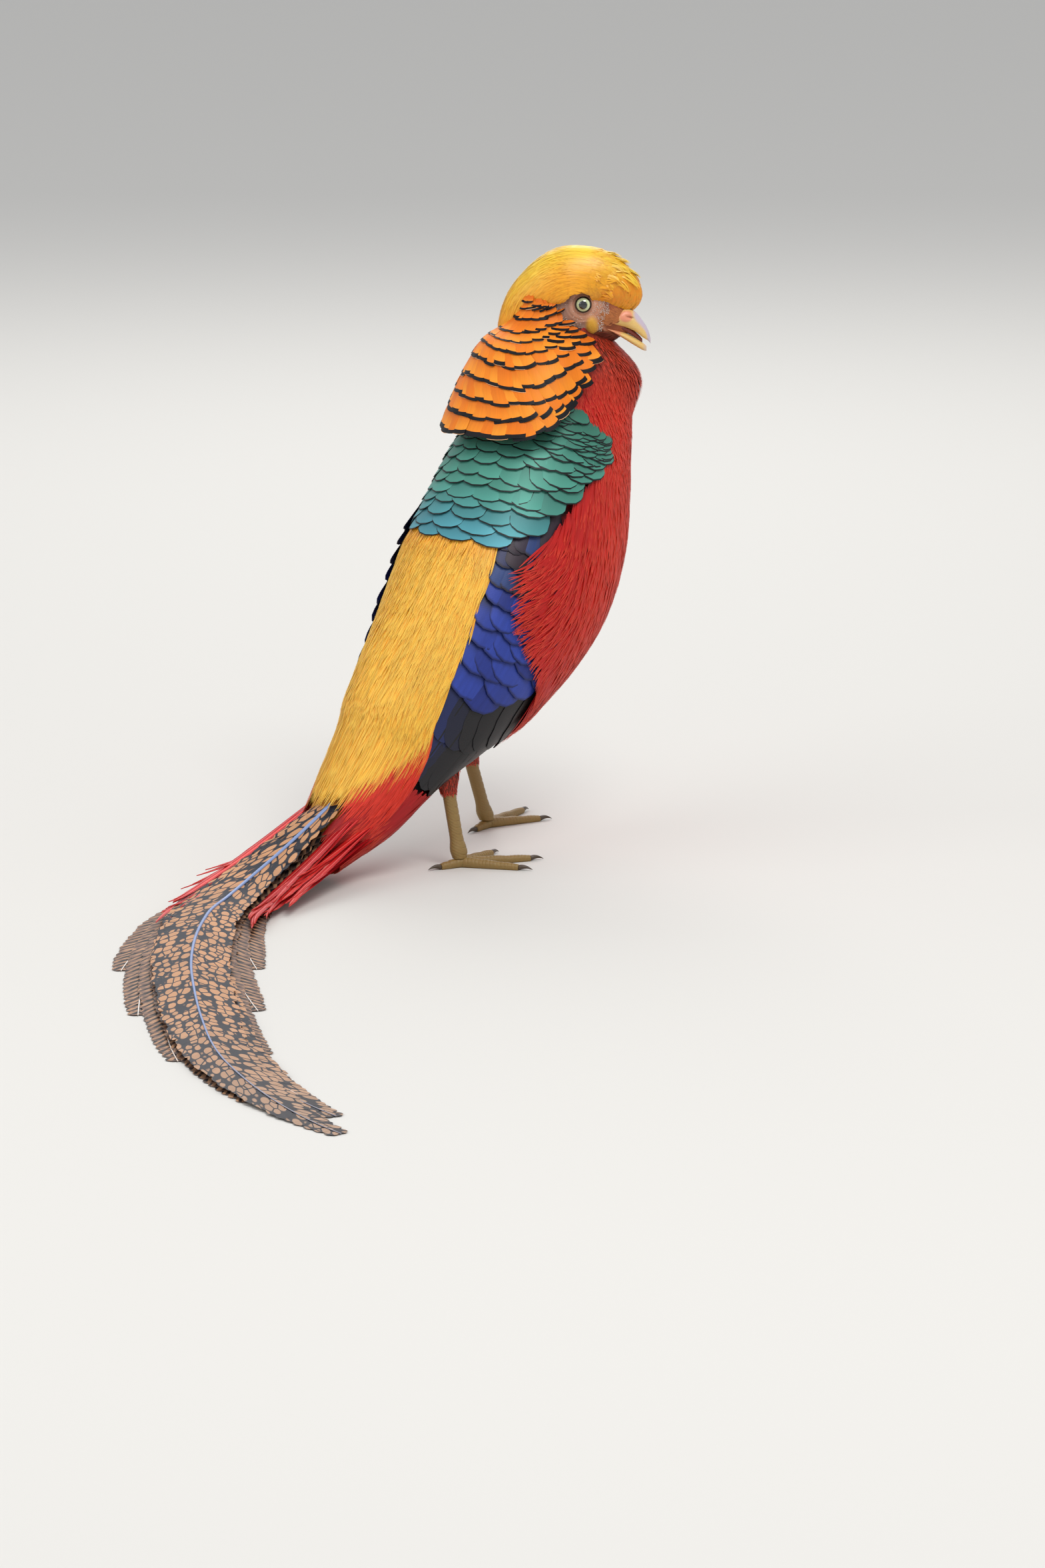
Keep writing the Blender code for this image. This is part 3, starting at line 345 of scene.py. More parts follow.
def spline(rows, t):
    """Rows read at t from a smooth curve through them, and straight on past its ends."""
    table = np.asarray(rows, float)
    last = len(table) - 1
    t = np.asarray(t, float)
    inside = np.clip(t, 0, last)
    i = np.minimum(inside.astype(int), last - 1)
    f = (inside - i)[..., None]
    padded = np.vstack([2 * table[0] - table[1], table, 2 * table[-1] - table[-2]])
    before, here, after, beyond = (padded[i + k] for k in range(4))
    square = (2 * before - 5 * here + 4 * after - beyond) * f**2
    cube = (3 * here - before - 3 * after + beyond) * f**3
    value = 0.5 * (2 * here + (after - before) * f + square + cube)
    slope = np.where((t > last)[..., None], table[-1] - table[-2], table[1] - table[0])
    return value + (t - inside)[..., None] * slope


def keyed(rows, key):
    """The rest of a row, read smoothly from rows whose first column is a rising key."""
    keys = [row[0] for row in rows]
    return spline(rows, np.interp(key, keys, range(len(rows))))[..., 1:]


def spread(*values):
    return np.broadcast_arrays(*(np.asarray(value, float) for value in values))


def grid(rows, columns, closed=True):
    """Values for rows and columns of a surface, each from (low, high, count). Closed columns go round."""
    line = np.linspace(*columns, endpoint=not closed)
    return np.meshgrid(np.linspace(*rows), line, indexing="ij")


def trunk_frame(s):
    """Middle of the trunk at a station, its ways along, back and right, and the three radii of the coat."""
    row = spline(TRUNK, s)
    behind, before = (spline(TRUNK, np.asarray(s) + step)[..., :3] for step in (-0.05, 0.05))
    along = unit(before - behind)
    heading = np.radians(row[..., 3])
    ahead = np.stack([np.cos(heading), np.sin(heading), np.zeros_like(heading)], axis=-1)
    back = unit(-ahead + np.sum(ahead * along, axis=-1, keepdims=True) * along)
    return row[..., :3], along, back, np.cross(along, back), row[..., 4:]


def trunk_point(s, angle, rise=0.0):
    """A point of the trunk: station, degrees from the middle of the back, height above the coat."""
    s, angle, rise = spread(s, angle, rise)
    centre, _, back, right, radii = trunk_frame(s)
    turn = np.radians(angle)
    c, d = np.cos(turn), np.sin(turn)
    depth = np.where(c > 0, radii[..., 0], radii[..., 1])
    radius = 1 / np.hypot(c / depth, d / radii[..., 2]) + rise
    return centre + radius[..., None] * (c[..., None] * back + d[..., None] * right)


def head_point(u, v, w):
    """A point u ahead of the eyes, v to the right and w above them."""
    u, v, w = spread(u, v, w)
    heading = math.radians(HEAD_HEADING)
    ahead = np.array([math.cos(heading), math.sin(heading), 0.0])
    right = np.array([math.sin(heading), -math.cos(heading), 0.0])
    up = np.array([0.0, 0.0, 1.0])
    return np.array(HEAD_PLACE, float) + u[..., None] * ahead + v[..., None] * right + w[..., None] * up


def face_point(behind, turn, rise=0.0):
    """A point of the skull: how far behind the eyes, degrees from its top and height over the skin."""
    behind, turn, rise = spread(behind, turn, rise)
    middle, high, half = np.moveaxis(keyed(SKULL, -behind), -1, 0)
    turn = np.radians(turn)
    return head_point(-behind, (half + rise) * np.sin(turn), middle + (high + rise) * np.cos(turn))


def crest_point(angle, side, rise=0.0):
    """A point of the crest: degrees from straight ahead, degrees to the side, height above the skull."""
    angle, side, rise = spread(angle, side, rise)
    skull, closed, width = np.moveaxis(keyed(CREST, angle), -1, 0)
    half = width - 6 * (1 - rise / (closed - skull))
    turn, lean = np.radians(angle), np.radians(side)
    reach = (skull + rise) * np.cos(lean)
    u, w = CREST_PIVOT[0] + reach * np.cos(turn), CREST_PIVOT[1] + reach * np.sin(turn)
    return head_point(u, half * np.sin(lean), w)


def tail_path():
    """Distances along the tail's middle line on the floor, with place and heading at each."""
    keys, turns = zip(*TAIL_TURN)
    distance = np.arange(-20.0, 721.0, 2.0)
    heading = np.radians(np.interp(distance, keys, turns))
    place = np.cumsum(2.0 * np.stack([-np.cos(heading), -np.sin(heading)], axis=-1), axis=0)
    place += np.array(TAIL_START[:2]) - place[np.searchsorted(distance, 0.0)]
    return distance, place, heading


TAIL_PATH = tail_path()


def tail_lift(distance):
    """How far the tail's middle line is over the floor."""
    return (TAIL_START[2] - 8) * np.maximum(1 - distance / TAIL_FALL, 0.0) ** 1.7


def tail_point(distance, side, height):
    """A point of the tail: side is to the bird's right, height is above the floor where it lies."""
    distance, side, height = spread(distance, side, height)
    keys, place, heading = TAIL_PATH
    x, y, turn = (np.interp(distance, keys, column) for column in (place[:, 0], place[:, 1], heading))
    z = height + tail_lift(distance)
    return np.stack([x + side * np.sin(turn), y - side * np.cos(turn), z], axis=-1)


def leg_middle(side, z):
    """The middle of a leg at heights above the floor."""
    foot = np.array([*LEGS[side]["foot"], 0.0])
    heel = np.array(LEGS[side]["heel"], float)
    return foot + (heel - foot) * (z / heel[2])[..., None]


def leg_point(side, z, angle, rise=0.0):
    """A point of a leg's surface: height above the floor, degrees round it and height over the skin."""
    z, angle, rise = spread(z, angle, rise)
    turn = np.radians(angle)
    round_it = np.stack([1.25 * np.cos(turn), np.sin(turn), np.zeros_like(turn)], axis=-1)
    return leg_middle(side, z) + (read(THIGH_RADII, z) + rise)[..., None] * round_it


def frame_shift():
    """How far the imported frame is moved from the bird's own, read from the middle of the two eyes."""
    corners = [corner for side in ("right", "left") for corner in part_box(f"eye_{side}")]
    return np.mean([np.array(corner) for corner in corners], axis=0) - head_point(0, 0, 0) * MM


SHIFT = frame_shift()


def to_world(points):
    return np.asarray(points, float) * MM + SHIFT


def build_mesh(name, points, faces, material):
    """A smooth object from points in millimetres and rows of faces, where -1 fills up a triangle."""
    triangle = np.where(faces[:, 3] < 0, faces[:, 2], faces[:, 3])
    a, b, c, d = (points[column] for column in (*faces[:, :3].T, triangle))
    if np.sum(a * np.cross(b, c)) + np.sum(a * np.cross(c, d)) < 0:
        faces = np.where(faces[:, 3:] < 0, faces[:, [2, 1, 0, 3]], faces[:, ::-1])
    mesh = bpy.data.meshes.new(name)
    loops = faces[faces >= 0]
    counts = (faces >= 0).sum(axis=1)
    mesh.vertices.add(len(points))
    mesh.vertices.foreach_set("co", to_world(points).astype(np.float32).ravel())
    mesh.loops.add(len(loops))
    mesh.loops.foreach_set("vertex_index", loops.astype(np.int32))
    mesh.polygons.add(len(faces))
    starts = np.concatenate([[0], np.cumsum(counts)[:-1]])
    mesh.polygons.foreach_set("loop_start", starts.astype(np.int32))
    mesh.update(calc_edges=True)
    mesh.shade_smooth()
    mesh.materials.append(material)
    obj = bpy.data.objects.new(name, mesh)
    bpy.context.collection.objects.link(obj)
    return obj


def end_strips(sides):
    """Faces across the end of a tube, in strips from its side 0 to the one opposite."""
    if sides == 3:
        return np.array([[0, 1, 2, -1]])
    half = sides // 2
    inner = [[j, j + 1, sides - j - 1, sides - j] for j in range(1, half - 1)]
    return np.array([[0, 1, sides - 1, -1], *inner, [half - 1, half, half + 1, -1]])


def tube_faces(count, rings, sides):
    """Faces of many closed tubes, each through so many rings of so many sides."""
    base = (np.arange(count) * rings * sides)[:, None, None]
    i = np.arange(rings - 1)[None, :, None] * sides
    j = np.arange(sides)[None, None, :]
    after = (j + 1) % sides
    corners = (base + i + j, base + i + after, base + i + sides + after, base + i + sides + j)
    walls = np.stack(np.broadcast_arrays(*corners), axis=-1).reshape(-1, 4)
    strips = end_strips(sides)
    blank = strips < 0
    near = np.where(blank, -1, base + strips).reshape(-1, 4)
    far = np.where(blank, -1, base + (rings - 1) * sides + strips).reshape(-1, 4)
    near = np.where(near[:, 3:] < 0, near[:, [2, 1, 0, 3]], near[:, ::-1])
    return np.concatenate([walls, near, far])


def set_attribute(mesh, name, values):
    layer = mesh.attributes.new(name, "FLOAT_VECTOR", "POINT")
    layer.data.foreach_set("vector", np.asarray(values, np.float32).ravel())


def set_bake_map(mesh, places):
    """The map that the colours are baked on, from one place for each vertex."""
    layer = mesh.uv_layers.new(name="OFBake")
    index = np.empty(len(mesh.loops), np.int32)
    mesh.loops.foreach_get("vertex_index", index)
    layer.data.foreach_set("uv", np.asarray(places, np.float32)[index].ravel())


def loft(name, rings, material, chart=None, window=(0.01, 0.01, 0.99, 0.99)):
    """A smooth closed form through rings of points, with its bake map in one window of the sheet."""
    rings = np.asarray(rings, float)
    count, sides, _ = rings.shape
    obj = build_mesh(name, rings.reshape(-1, 3), tube_faces(1, count, sides), material)
    left, low, right, high = window
    v, u = grid((low, high, count), (left, right, sides), closed=False)
    set_bake_map(obj.data, np.stack([u, v], axis=-1).reshape(-1, 2))
    if chart is not None:
        set_attribute(obj.data, "place", chart)
    return obj


def finish(obj, slot, *nodes):
    """Makes a piece ride on the bird and hides the solids that it stands for; slot, its finish's name, is
    not used.
    """
    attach(obj, "root")
    if nodes:
        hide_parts(*nodes)
    return obj


def feather_ring(places):
    """Places across a feather and the level at each, round its section: a lens, or a strand's triangle."""
    if len(places) > 3:
        ring = [(p, 1 - p**4) for p in places] + [(p, p**4 - 1) for p in places[-2:0:-1]]
    else:
        ring = [(p, 1.0 - abs(p)) for p in places]
    return (np.array(column)[None, None, :] for column in zip(*ring))


def feathers(
    name, surface, root, tip, width, low, high, material, form=STRAND, chart=(0, 1, 0, 1),
    steps=5, thick=0.25, camber=0.0, roll=0.0, bow=0.0, sway=0.0, fray=0.0, power=0.6,
    patch=0.003, strip=False, cells=False,
):
    """Many closed feathers on a surface, as one object.

    Each has its root and its tip as (along, across), its full width, and its height over the surface, from
    low at the root to high at the tip, which it reaches the sooner the smaller power is. steps is how many
    lengths it has and thick its half thickness. camber raises its middle and roll its right edge, more and
    more towards the tip. bow bends it along the surface, sway bends it across, and fray makes its edges
    uneven. chart is the range of the surface on the bake map: along, along, across, across. A feather's
    patch there lies by its root, or with strip along its own length, or with cells it has its own cell.
    """
    outline, places, rounding = form
    count = len(root)
    random = np.random.default_rng(SEED + len(name) + count)
    ones = np.ones((count, 1, 1))

    def given(value):
        return np.asarray(value, float).reshape(-1, 1, 1) * ones

    def at(share):
        wave = np.sin(np.pi * share)
        along, across = (
            given(root[:, i]) + given(tip[:, i] - root[:, i]) * share + given(bend) * wave
            for i, bend in enumerate((bow, sway))
        )
        return along, across, mix(given(low), given(high), share**power)

    line = np.linspace(0, 1, steps + 1)[None, :, None] * ones
    along, across, height = at(line)
    middle = surface(along, across, height)
    length = given(np.linalg.norm(np.diff(middle[:, :, 0], axis=1), axis=-1).sum(axis=1))
    # Millimetres for one unit along and across the surface, and with them the way that the feather runs.
    step_a, step_b = (chart[1] - chart[0]) / 400, (chart[3] - chart[2]) / 400
    ahead = surface(along + step_a, across, height) - surface(along - step_a, across, height)
    aside = surface(along, across + step_b, height) - surface(along, across - step_b, height)
    unit_a = np.linalg.norm(ahead, axis=-1) / 2 / step_a
    unit_b = np.linalg.norm(aside, axis=-1) / 2 / step_b
    way_a, way_b = np.gradient(along, axis=1) * unit_a, np.gradient(across, axis=1) * unit_b
    norm = np.maximum(np.hypot(way_a, way_b), 1e-9)
    keys, shares = zip(*outline)
    wide = np.interp(line, keys, shares)
    half = given(width) / 2 * wide * (1 - fray * random.random(line.shape) * (line > 0.4))
    p, level = feather_ring(places)
    back = rounding * given(width) / 2 / length * (1 - np.sqrt(np.maximum(1 - p**2, 0)))
    share = line * (1 - back * line)
    a, b, h = at(share)
    a = a + way_b / norm * half * p / unit_a
    b = b - way_a / norm * half * p / unit_b
    h = h + given(camber) * (1 - p**2) * line + given(roll) * p * line
    points = surface(a, b, h + level * thick * (0.35 + 0.65 * wide))
    shape = points.shape[:3]
    obj = build_mesh(name, points.reshape(-1, 3), tube_faces(count, steps + 1, shape[2]), material)
    obj.data.set_sharp_from_angle(angle=math.radians(SHARP_ANGLE))
    draw = given(random.random(count))
    across_it, along_it = np.broadcast_to(p, shape), np.broadcast_to(line, shape)
    layers = {
        "lay": (across_it, along_it, draw),
        "size": (half * (1 - np.abs(p)), (1 - along_it) * length, share * length),
        "root": (given(root[:, 0]), given(root[:, 1]), np.broadcast_to(draw, shape)),
        "place": (a, b, given(width)),
    }
    for label, values in layers.items():
        set_attribute(obj.data, label, np.stack(np.broadcast_arrays(*values), axis=-1))
    if cells:
        columns = int(math.ceil(math.sqrt(count)))
        order = given(np.lexsort((root[:, 1], np.round(root[:, 0], 1))).argsort())
        u = (order % columns + 0.5 + 0.42 * across_it) / columns
        v = (order // columns + 0.05 + 0.9 * along_it) / columns
    else:
        spot = layers["place" if strip else "root"]
        u = (spot[1] - chart[2]) / (chart[3] - chart[2]) * 0.96 + 0.02 + patch * 0.5 * across_it
        v = (spot[0] - chart[0]) / (chart[1] - chart[0]) * 0.96 + 0.02 + patch * (along_it - 0.5)
    set_bake_map(obj.data, np.stack(np.broadcast_arrays(u, v), axis=-1).reshape(-1, 2))
    return obj


def scatter(random, count, low_a, high_a, low_b, high_b):
    """So many even but unordered places in a rectangle, as (along, across)."""
    ratio = (high_b - low_b) / max(high_a - low_a, 1e-6)
    columns = max(int(round(math.sqrt(count * ratio))), 1)
    rows = max(count // columns, 1)
    a, b = np.meshgrid(np.arange(rows), np.arange(columns), indexing="ij")
    a = (a + random.random(a.shape)) / rows
    b = (b + random.random(b.shape)) / columns
    return np.stack([mix(low_a, high_a, a.ravel()), mix(low_b, high_b, b.ravel())], axis=-1)


def node(tree, kind, settings=None, inputs=None):
    """Adds a node with its settings and its inputs: each a constant, a socket, or a node to link from."""
    made = tree.nodes.new(kind)
    for key, value in (settings or {}).items():
        setattr(made, key, value)
    for key, value in (inputs or {}).items():
        if isinstance(value, bpy.types.Node):
            value = next(output for output in value.outputs if output.enabled)
        if isinstance(value, bpy.types.NodeSocket):
            tree.links.new(value, made.inputs[key])
        else:
            made.inputs[key].default_value = value
    return made


def calc(tree, operation, *values):
    """Adds a maths node on up to three values."""
    return node(tree, "ShaderNodeMath", {"operation": operation}, dict(enumerate(values)))


def new_material(name, roughness, specular, more=None):
    """A material, its tree and its shader. more holds other sockets of the shader and their values."""
    material = bpy.data.materials.new(name)
    material.use_nodes = True
    shader = material.node_tree.nodes["Principled BSDF"]
    shader.inputs["Roughness"].default_value = roughness
    shader.inputs["Specular IOR Level"].default_value = specular
    for socket, value in (more or {}).items():
        shader.inputs[socket].default_value = value
    return material, material.node_tree, shader


def channels(tree, name):
    """The three values of a vector attribute."""
    given = node(tree, "ShaderNodeAttribute", {"attribute_name": name})
    return node(tree, "ShaderNodeSeparateXYZ", inputs={0: given.outputs["Vector"]}).outputs


def fade(tree, value, low, high, first, second):
    """A colour that passes from first to second as value goes from low to high."""
    ends = {0: value, 1: low, 2: high}
    share = node(tree, "ShaderNodeMapRange", {"interpolation_type": "SMOOTHSTEP"}, ends)
    first, second = ((*c, 1) if isinstance(c, tuple) else c for c in (first, second))
    return node(tree, "ShaderNodeMix", {"data_type": "RGBA"}, {0: share, 6: first, 7: second})


def shade(tree, colour, value, low, high, dark, light):
    """The colour made darker or lighter as value goes from low to high."""
    share = node(tree, "ShaderNodeMapRange", inputs={0: value, 1: low, 2: high, 3: dark, 4: light})
    grey = node(tree, "ShaderNodeCombineColor", inputs={0: share, 1: share, 2: share})
    kind = {"data_type": "RGBA", "blend_type": "MULTIPLY"}
    return node(tree, "ShaderNodeMix", kind, {0: 1.0, 6: colour, 7: grey})


def streaks(tree, colour, along, across, dark, light):
    """The colour with long soft streaks: along and across are how often they change there, per unit."""
    place = channels(tree, "place")
    run = calc(tree, "MULTIPLY", place[0], along)
    side = calc(tree, "MULTIPLY", place[1], across)
    spot = node(tree, "ShaderNodeCombineXYZ", inputs={0: run, 1: side})
    noise = node(tree, "ShaderNodeTexNoise", inputs={"Vector": spot, "Scale": 1.0, "Detail": 3.0})
    return shade(tree, colour, noise, 0.3, 0.7, dark, light)


def barbs(tree, shader, spacing, slant, strength):
    """Fine grooves of a feather's barbs: spacing apart in millimetres, slanted back from the shaft."""
    edge, _, run = channels(tree, "size")
    leant = calc(tree, "MULTIPLY_ADD", edge, slant, run)
    wave = calc(tree, "MULTIPLY", leant, math.tau / spacing)
    groove = calc(tree, "SINE", wave)
    emboss(tree, shader, groove, strength, 0.0003)


def emboss(tree, shader, height, strength, distance):
    """Fine relief in the shader, with its depth in metres as distance."""
    inputs = {"Strength": strength, "Distance": distance, "Height": height}
    bump = node(tree, "ShaderNodeBump", inputs=inputs)
    tree.links.new(bump.outputs[0], shader.inputs["Normal"])


def paint(tree, shader, colour):
    tree.links.new(next(output for output in colour.outputs if output.enabled), shader.inputs["Base Color"])


# Loose barbs pass some light on to each other.
SILK = {"Subsurface Weight": 0.1, "Subsurface Scale": 0.002}


def crest_silk():
    # Golden pheasant crest, loose silky barbs without hooks: a soft gloss along them, lemon on the crown,
    # partly painted highlight where the top of the crest faces the light, orange at the forehead, along the
    # lower edge and down the nape, and darker at the roots as painted shade under the strands that lie over
    # them.
    material, tree, shader = new_material("Crest silk, glossy", 0.36, 0.45, SILK)
    angle, side, draw = channels(tree, "root")
    _, share, _ = channels(tree, "lay")
    flank = calc(tree, "ABSOLUTE", side)
    # Partly the crest's own lemon, partly painted highlight: the top is made lighter than the sides.
    colour = fade(tree, flank, 18, 66, linear("ffd03a"), linear("ffac20"))
    colour = fade(tree, angle, 96, 176, colour, linear("f79c18"))
    colour = fade(tree, angle, -4, 40, linear("fb930c"), colour)
    # Painted shade: darker at the roots, where strands lie under others.
    colour = fade(tree, share, 0.0, 0.4, linear("f0a01a"), colour)
    colour = shade(tree, colour, draw, 0, 1, 0.9, 1.0)
    paint(tree, shader, streaks(tree, colour, 0.03, 0.3, 0.88, 1.0))
    return material


def cape_vane():
    # Cape feather, a firm square-ended vane: smooth orange with a soft gloss, a blue-black bar across its
    # end, now and then a thin peach fringe. Darker towards the root as painted shade under the row above,
    # and one web painted a little darker than the other as shade.
    material, tree, shader = new_material("Cape vane, satin", 0.5, 0.22)
    across, share, draw = channels(tree, "lay")
    _, reach, _ = channels(tree, "size")
    width = channels(tree, "place")[2]
    colour = fade(tree, draw, 0, 1, linear("ee7c12"), linear("f99a28"))
    # Painted shade: darker orange towards the root, where the row above lies over it.
    colour = fade(tree, share, 0.4, 0.9, linear("d96a10"), colour)
    # Painted shade: one web a little darker than the other.
    colour = shade(tree, colour, across, -1, 1, 0.9, 1.0)
    wobble = calc(tree, "MULTIPLY_ADD", draw, 0.06, 0.15)
    depth = calc(tree, "MULTIPLY", width, wobble)
    bend = calc(tree, "MULTIPLY", across, across)
    depth = calc(tree, "MULTIPLY_ADD", bend, 0.35, depth)
    past = calc(tree, "SUBTRACT", reach, depth)
    colour = fade(tree, past, -0.1, 0.15, linear("0a090e"), colour)
    fringe = calc(tree, "MULTIPLY_ADD", draw, 1.6, -1.3)
    past = calc(tree, "SUBTRACT", reach, fringe)
    colour = fade(tree, past, -0.05, 0.1, linear("f4b783"), colour)
    paint(tree, shader, streaks(tree, colour, 1.2, 0.9, 0.9, 1.0))
    barbs(tree, shader, 0.8, 0.5, 0.06)
    return material


def mantle_scale():
    # Mantle feather, a broad hooked vane whose green is structural: a dull metal gloss, teal that turns
    # bluer low on the back, and a velvet black rim that throws nothing back. One web is painted lighter and
    # the other darker as light and shade on its keel, and the root darker as painted shade under the row
    # above.
    material, tree, shader = new_material("Mantle scale, iridescent", 0.46, 0.4, {"Metallic": 0.2})
    across, share, draw = channels(tree, "lay")
    edge, reach, _ = channels(tree, "size")
    station = channels(tree, "root")[0]
    colour = fade(tree, station, 8.1, 9.3, linear("4b93a0"), linear("4a9280"))
    colour = fade(tree, station, 9.6, 11.4, colour, linear("3d7d69"))
    colour = shade(tree, colour, draw, 0, 1, 0.85, 1.1)
    # Painted light and shade: one web lighter, the other darker, as on a keeled feather.
    colour = shade(tree, colour, across, -1, 1, 0.86, 1.08)
    # Painted shade: darker towards the root, under the row above.
    colour = shade(tree, colour, share, 0.45, 0.95, 0.55, 1.0)
    nearest = calc(tree, "MINIMUM", edge, reach)
    paint(tree, shader, fade(tree, nearest, 0.8, 1.1, linear("060a0a"), colour))
    barbs(tree, shader, 0.7, 0.8, 0.06)
    return material


def rump_silk():
    # Rump feather, frayed into hair-like golden barbs: glossy, darker gold at the root as painted shade
    # where the strands lie under each other, paler at the tip, orange under the mantle and flame red low
    # beside the tail.
    material, tree, shader = new_material("Rump silk, glossy", 0.4, 0.4, SILK)
    station, angle, draw = channels(tree, "root")
    _, share, _ = channels(tree, "lay")
    colour = fade(tree, draw, 0, 1, linear("faa423"), linear("ffbc38"))
    colour = fade(tree, share, 0.5, 1.0, colour, linear("ffc84c"))
    colour = fade(tree, station, 7.6, 8.2, colour, linear("f08a24"))
    turn = calc(tree, "ABSOLUTE", angle)
    low = calc(tree, "MULTIPLY_ADD", station, -14.0, turn)
    colour = fade(tree, low, 3, 15, colour, linear("e2301a"))
    # Painted shade: darker gold at the roots, where strands lie under others.
    colour = fade(tree, share, 0.0, 0.4, linear("d88c1c"), colour)
    paint(tree, shader, streaks(tree, colour, 0.4, 0.5, 0.76, 1.03))
    return material


def covert_vane():
    # Wing covert, a firm vane whose blue is structural: deep cobalt with a satin gloss, black towards the
    # root, and dusky purple with blue streaks on the shoulder feathers.
    material, tree, shader = new_material("Cobalt covert, satin", 0.42, 0.4, {"Metallic": 0.12})
    _, share, draw = channels(tree, "lay")
    station = channels(tree, "root")[0]
    edge, reach, _ = channels(tree, "size")
    blue = fade(tree, draw, 0, 1, linear("202f7c"), linear("2f44a0"))
    blue = fade(tree, share, 0.42, 0.8, linear("0f1020"), blue)
    nearest = calc(tree, "MINIMUM", edge, reach)
    blue = fade(tree, nearest, 0.1, 2.6, linear("1a2358"), blue)
    dusk = fade(tree, draw, 0.3, 0.7, linear("33252f"), linear("2a3f74"))
    dusk = fade(tree, nearest, 0.2, 3.0, linear("241c26"), dusk)
    colour = fade(tree, station, 7.3, 7.5, blue, dusk)
    paint(tree, shader, streaks(tree, colour, 1.5, 0.35, 0.8, 1.0))
    barbs(tree, shader, 0.9, 0.8, 0.05)
    return material


def quill_vane():
    # Flight feather, stiff dark keratin: black-brown with a low gloss, and a dull blue one on the inner
    # feathers.
    material, tree, shader = new_material("Flight vane, satin", 0.44, 0.4)
    across, _, draw = channels(tree, "lay")
    _, angle, _ = channels(tree, "root")
    turn = calc(tree, "ABSOLUTE", angle)
    colour = fade(tree, turn, 66, 82, linear("1a2350"), linear("161417"))
    colour = fade(tree, turn, 112, 132, colour, linear("241c1a"))
    colour = shade(tree, colour, draw, 0, 1, 0.85, 1.15)
    web = calc(tree, "ABSOLUTE", across)
    paint(tree, shader, fade(tree, web, 0.03, 0.06, linear("0c0b0d"), colour))
    barbs(tree, shader, 1.1, 0.9, 0.08)
    return material


def central_vane():
    # Central tail feather, a wide soft web: tan spots, each about 8 mm long and 4 mm wide and set in lines
    # slanting from the shaft, in a blue-black net that is about 1.5 mm wide.
    material, tree, shader = new_material("Central tail web, satin", 0.52, 0.3)
    run, off, _ = channels(tree, "place")
    draw = channels(tree, "lay")[2]
    out = calc(tree, "ABSOLUTE", off)
    slant = calc(tree, "MULTIPLY_ADD", out, -1.1, run)
    u = calc(tree, "MULTIPLY", off, 1 / 5.2)
    v = calc(tree, "MULTIPLY", slant, 1 / 9.5)
    spot = node(tree, "ShaderNodeCombineXYZ", inputs={0: u, 1: v})
    net = {"Vector": spot, "Scale": 1.0, "Randomness": 0.62}
    cells = node(tree, "ShaderNodeTexVoronoi", {"feature": "DISTANCE_TO_EDGE"}, net)
    ovals = node(tree, "ShaderNodeTexVoronoi", {"feature": "F1"}, net)
    inside = calc(tree, "MULTIPLY_ADD", ovals.outputs["Distance"], -0.5, 0.36)
    inside = calc(tree, "MINIMUM", cells.outputs["Distance"], inside)
    tan = fade(tree, run, 300, 640, linear("c08b60"), linear("a8866c"))
    tan = shade(tree, tan, draw, 0, 1, 0.85, 1.05)
    dark = fade(tree, run, 300, 640, linear("10131f"), linear("262328"))
    colour = fade(tree, inside, 0.05, 0.1, dark, tan)
    paint(tree, shader, colour)
    barbs(tree, shader, 1.0, 0.0, 0.1)
    return material


def side_vane():
    # Side tail feather, a narrow firm web: brown crossed by dark slanting bars about 5 mm apart.
    material, tree, shader = new_material("Side tail web, satin", 0.52, 0.3)
    run, off, _ = channels(tree, "place")
    _, share, draw = channels(tree, "lay")
    out = calc(tree, "ABSOLUTE", off)
    slant = calc(tree, "MULTIPLY_ADD", out, -1.5, run)
    spot = node(tree, "ShaderNodeCombineXYZ", inputs={0: slant, 1: off})
    noise = node(tree, "ShaderNodeTexNoise", inputs={"Vector": spot, "Scale": 0.09, "Detail": 1.0})
    bent = calc(tree, "MULTIPLY_ADD", noise, 9.0, slant)
    wave = calc(tree, "MULTIPLY", bent, math.tau / 8.5)
    bars = calc(tree, "SINE", wave)
    colour = fade(tree, bars, -0.25, 0.25, linear("b08462"), linear("1f1b1d"))
    colour = shade(tree, colour, draw, 0, 1, 0.8, 1.05)
    colour = fade(tree, share, 0.7, 1.0, colour, linear("75594b"))
    paint(tree, shader, colour)
    barbs(tree, shader, 1.0, 0.0, 0.1)
    return material


def shaft_horn(name, colour, tip):
    # Feather shaft, solid keratin: smooth, with a clean gloss, fading towards its tip.
    material, tree, shader = new_material(name, 0.32, 0.5)
    run = channels(tree, "place")[0]
    paint(tree, shader, fade(tree, run, 350, 620, linear(colour), linear(tip)))
    return material


def scarlet_vane():
    # Long tail covert, a narrow lance with loose edges: scarlet with a satin gloss and a pale rose shaft.
    material, tree, shader = new_material("Scarlet covert, satin", 0.42, 0.4)
    across, share, draw = channels(tree, "lay")
    web = calc(tree, "ABSOLUTE", across)
    colour = fade(tree, draw, 0, 1, linear("b8141c"), linear("e02a22"))
    colour = fade(tree, web, 0.4, 1.0, colour, linear("a00f18"))
    colour = fade(tree, share, 0.7, 1.0, colour, linear("c02018"))
    paint(tree, shader, fade(tree, web, 0.03, 0.1, linear("ef8b80"), colour))
    barbs(tree, shader, 0.9, 1.2, 0.25)
    return material


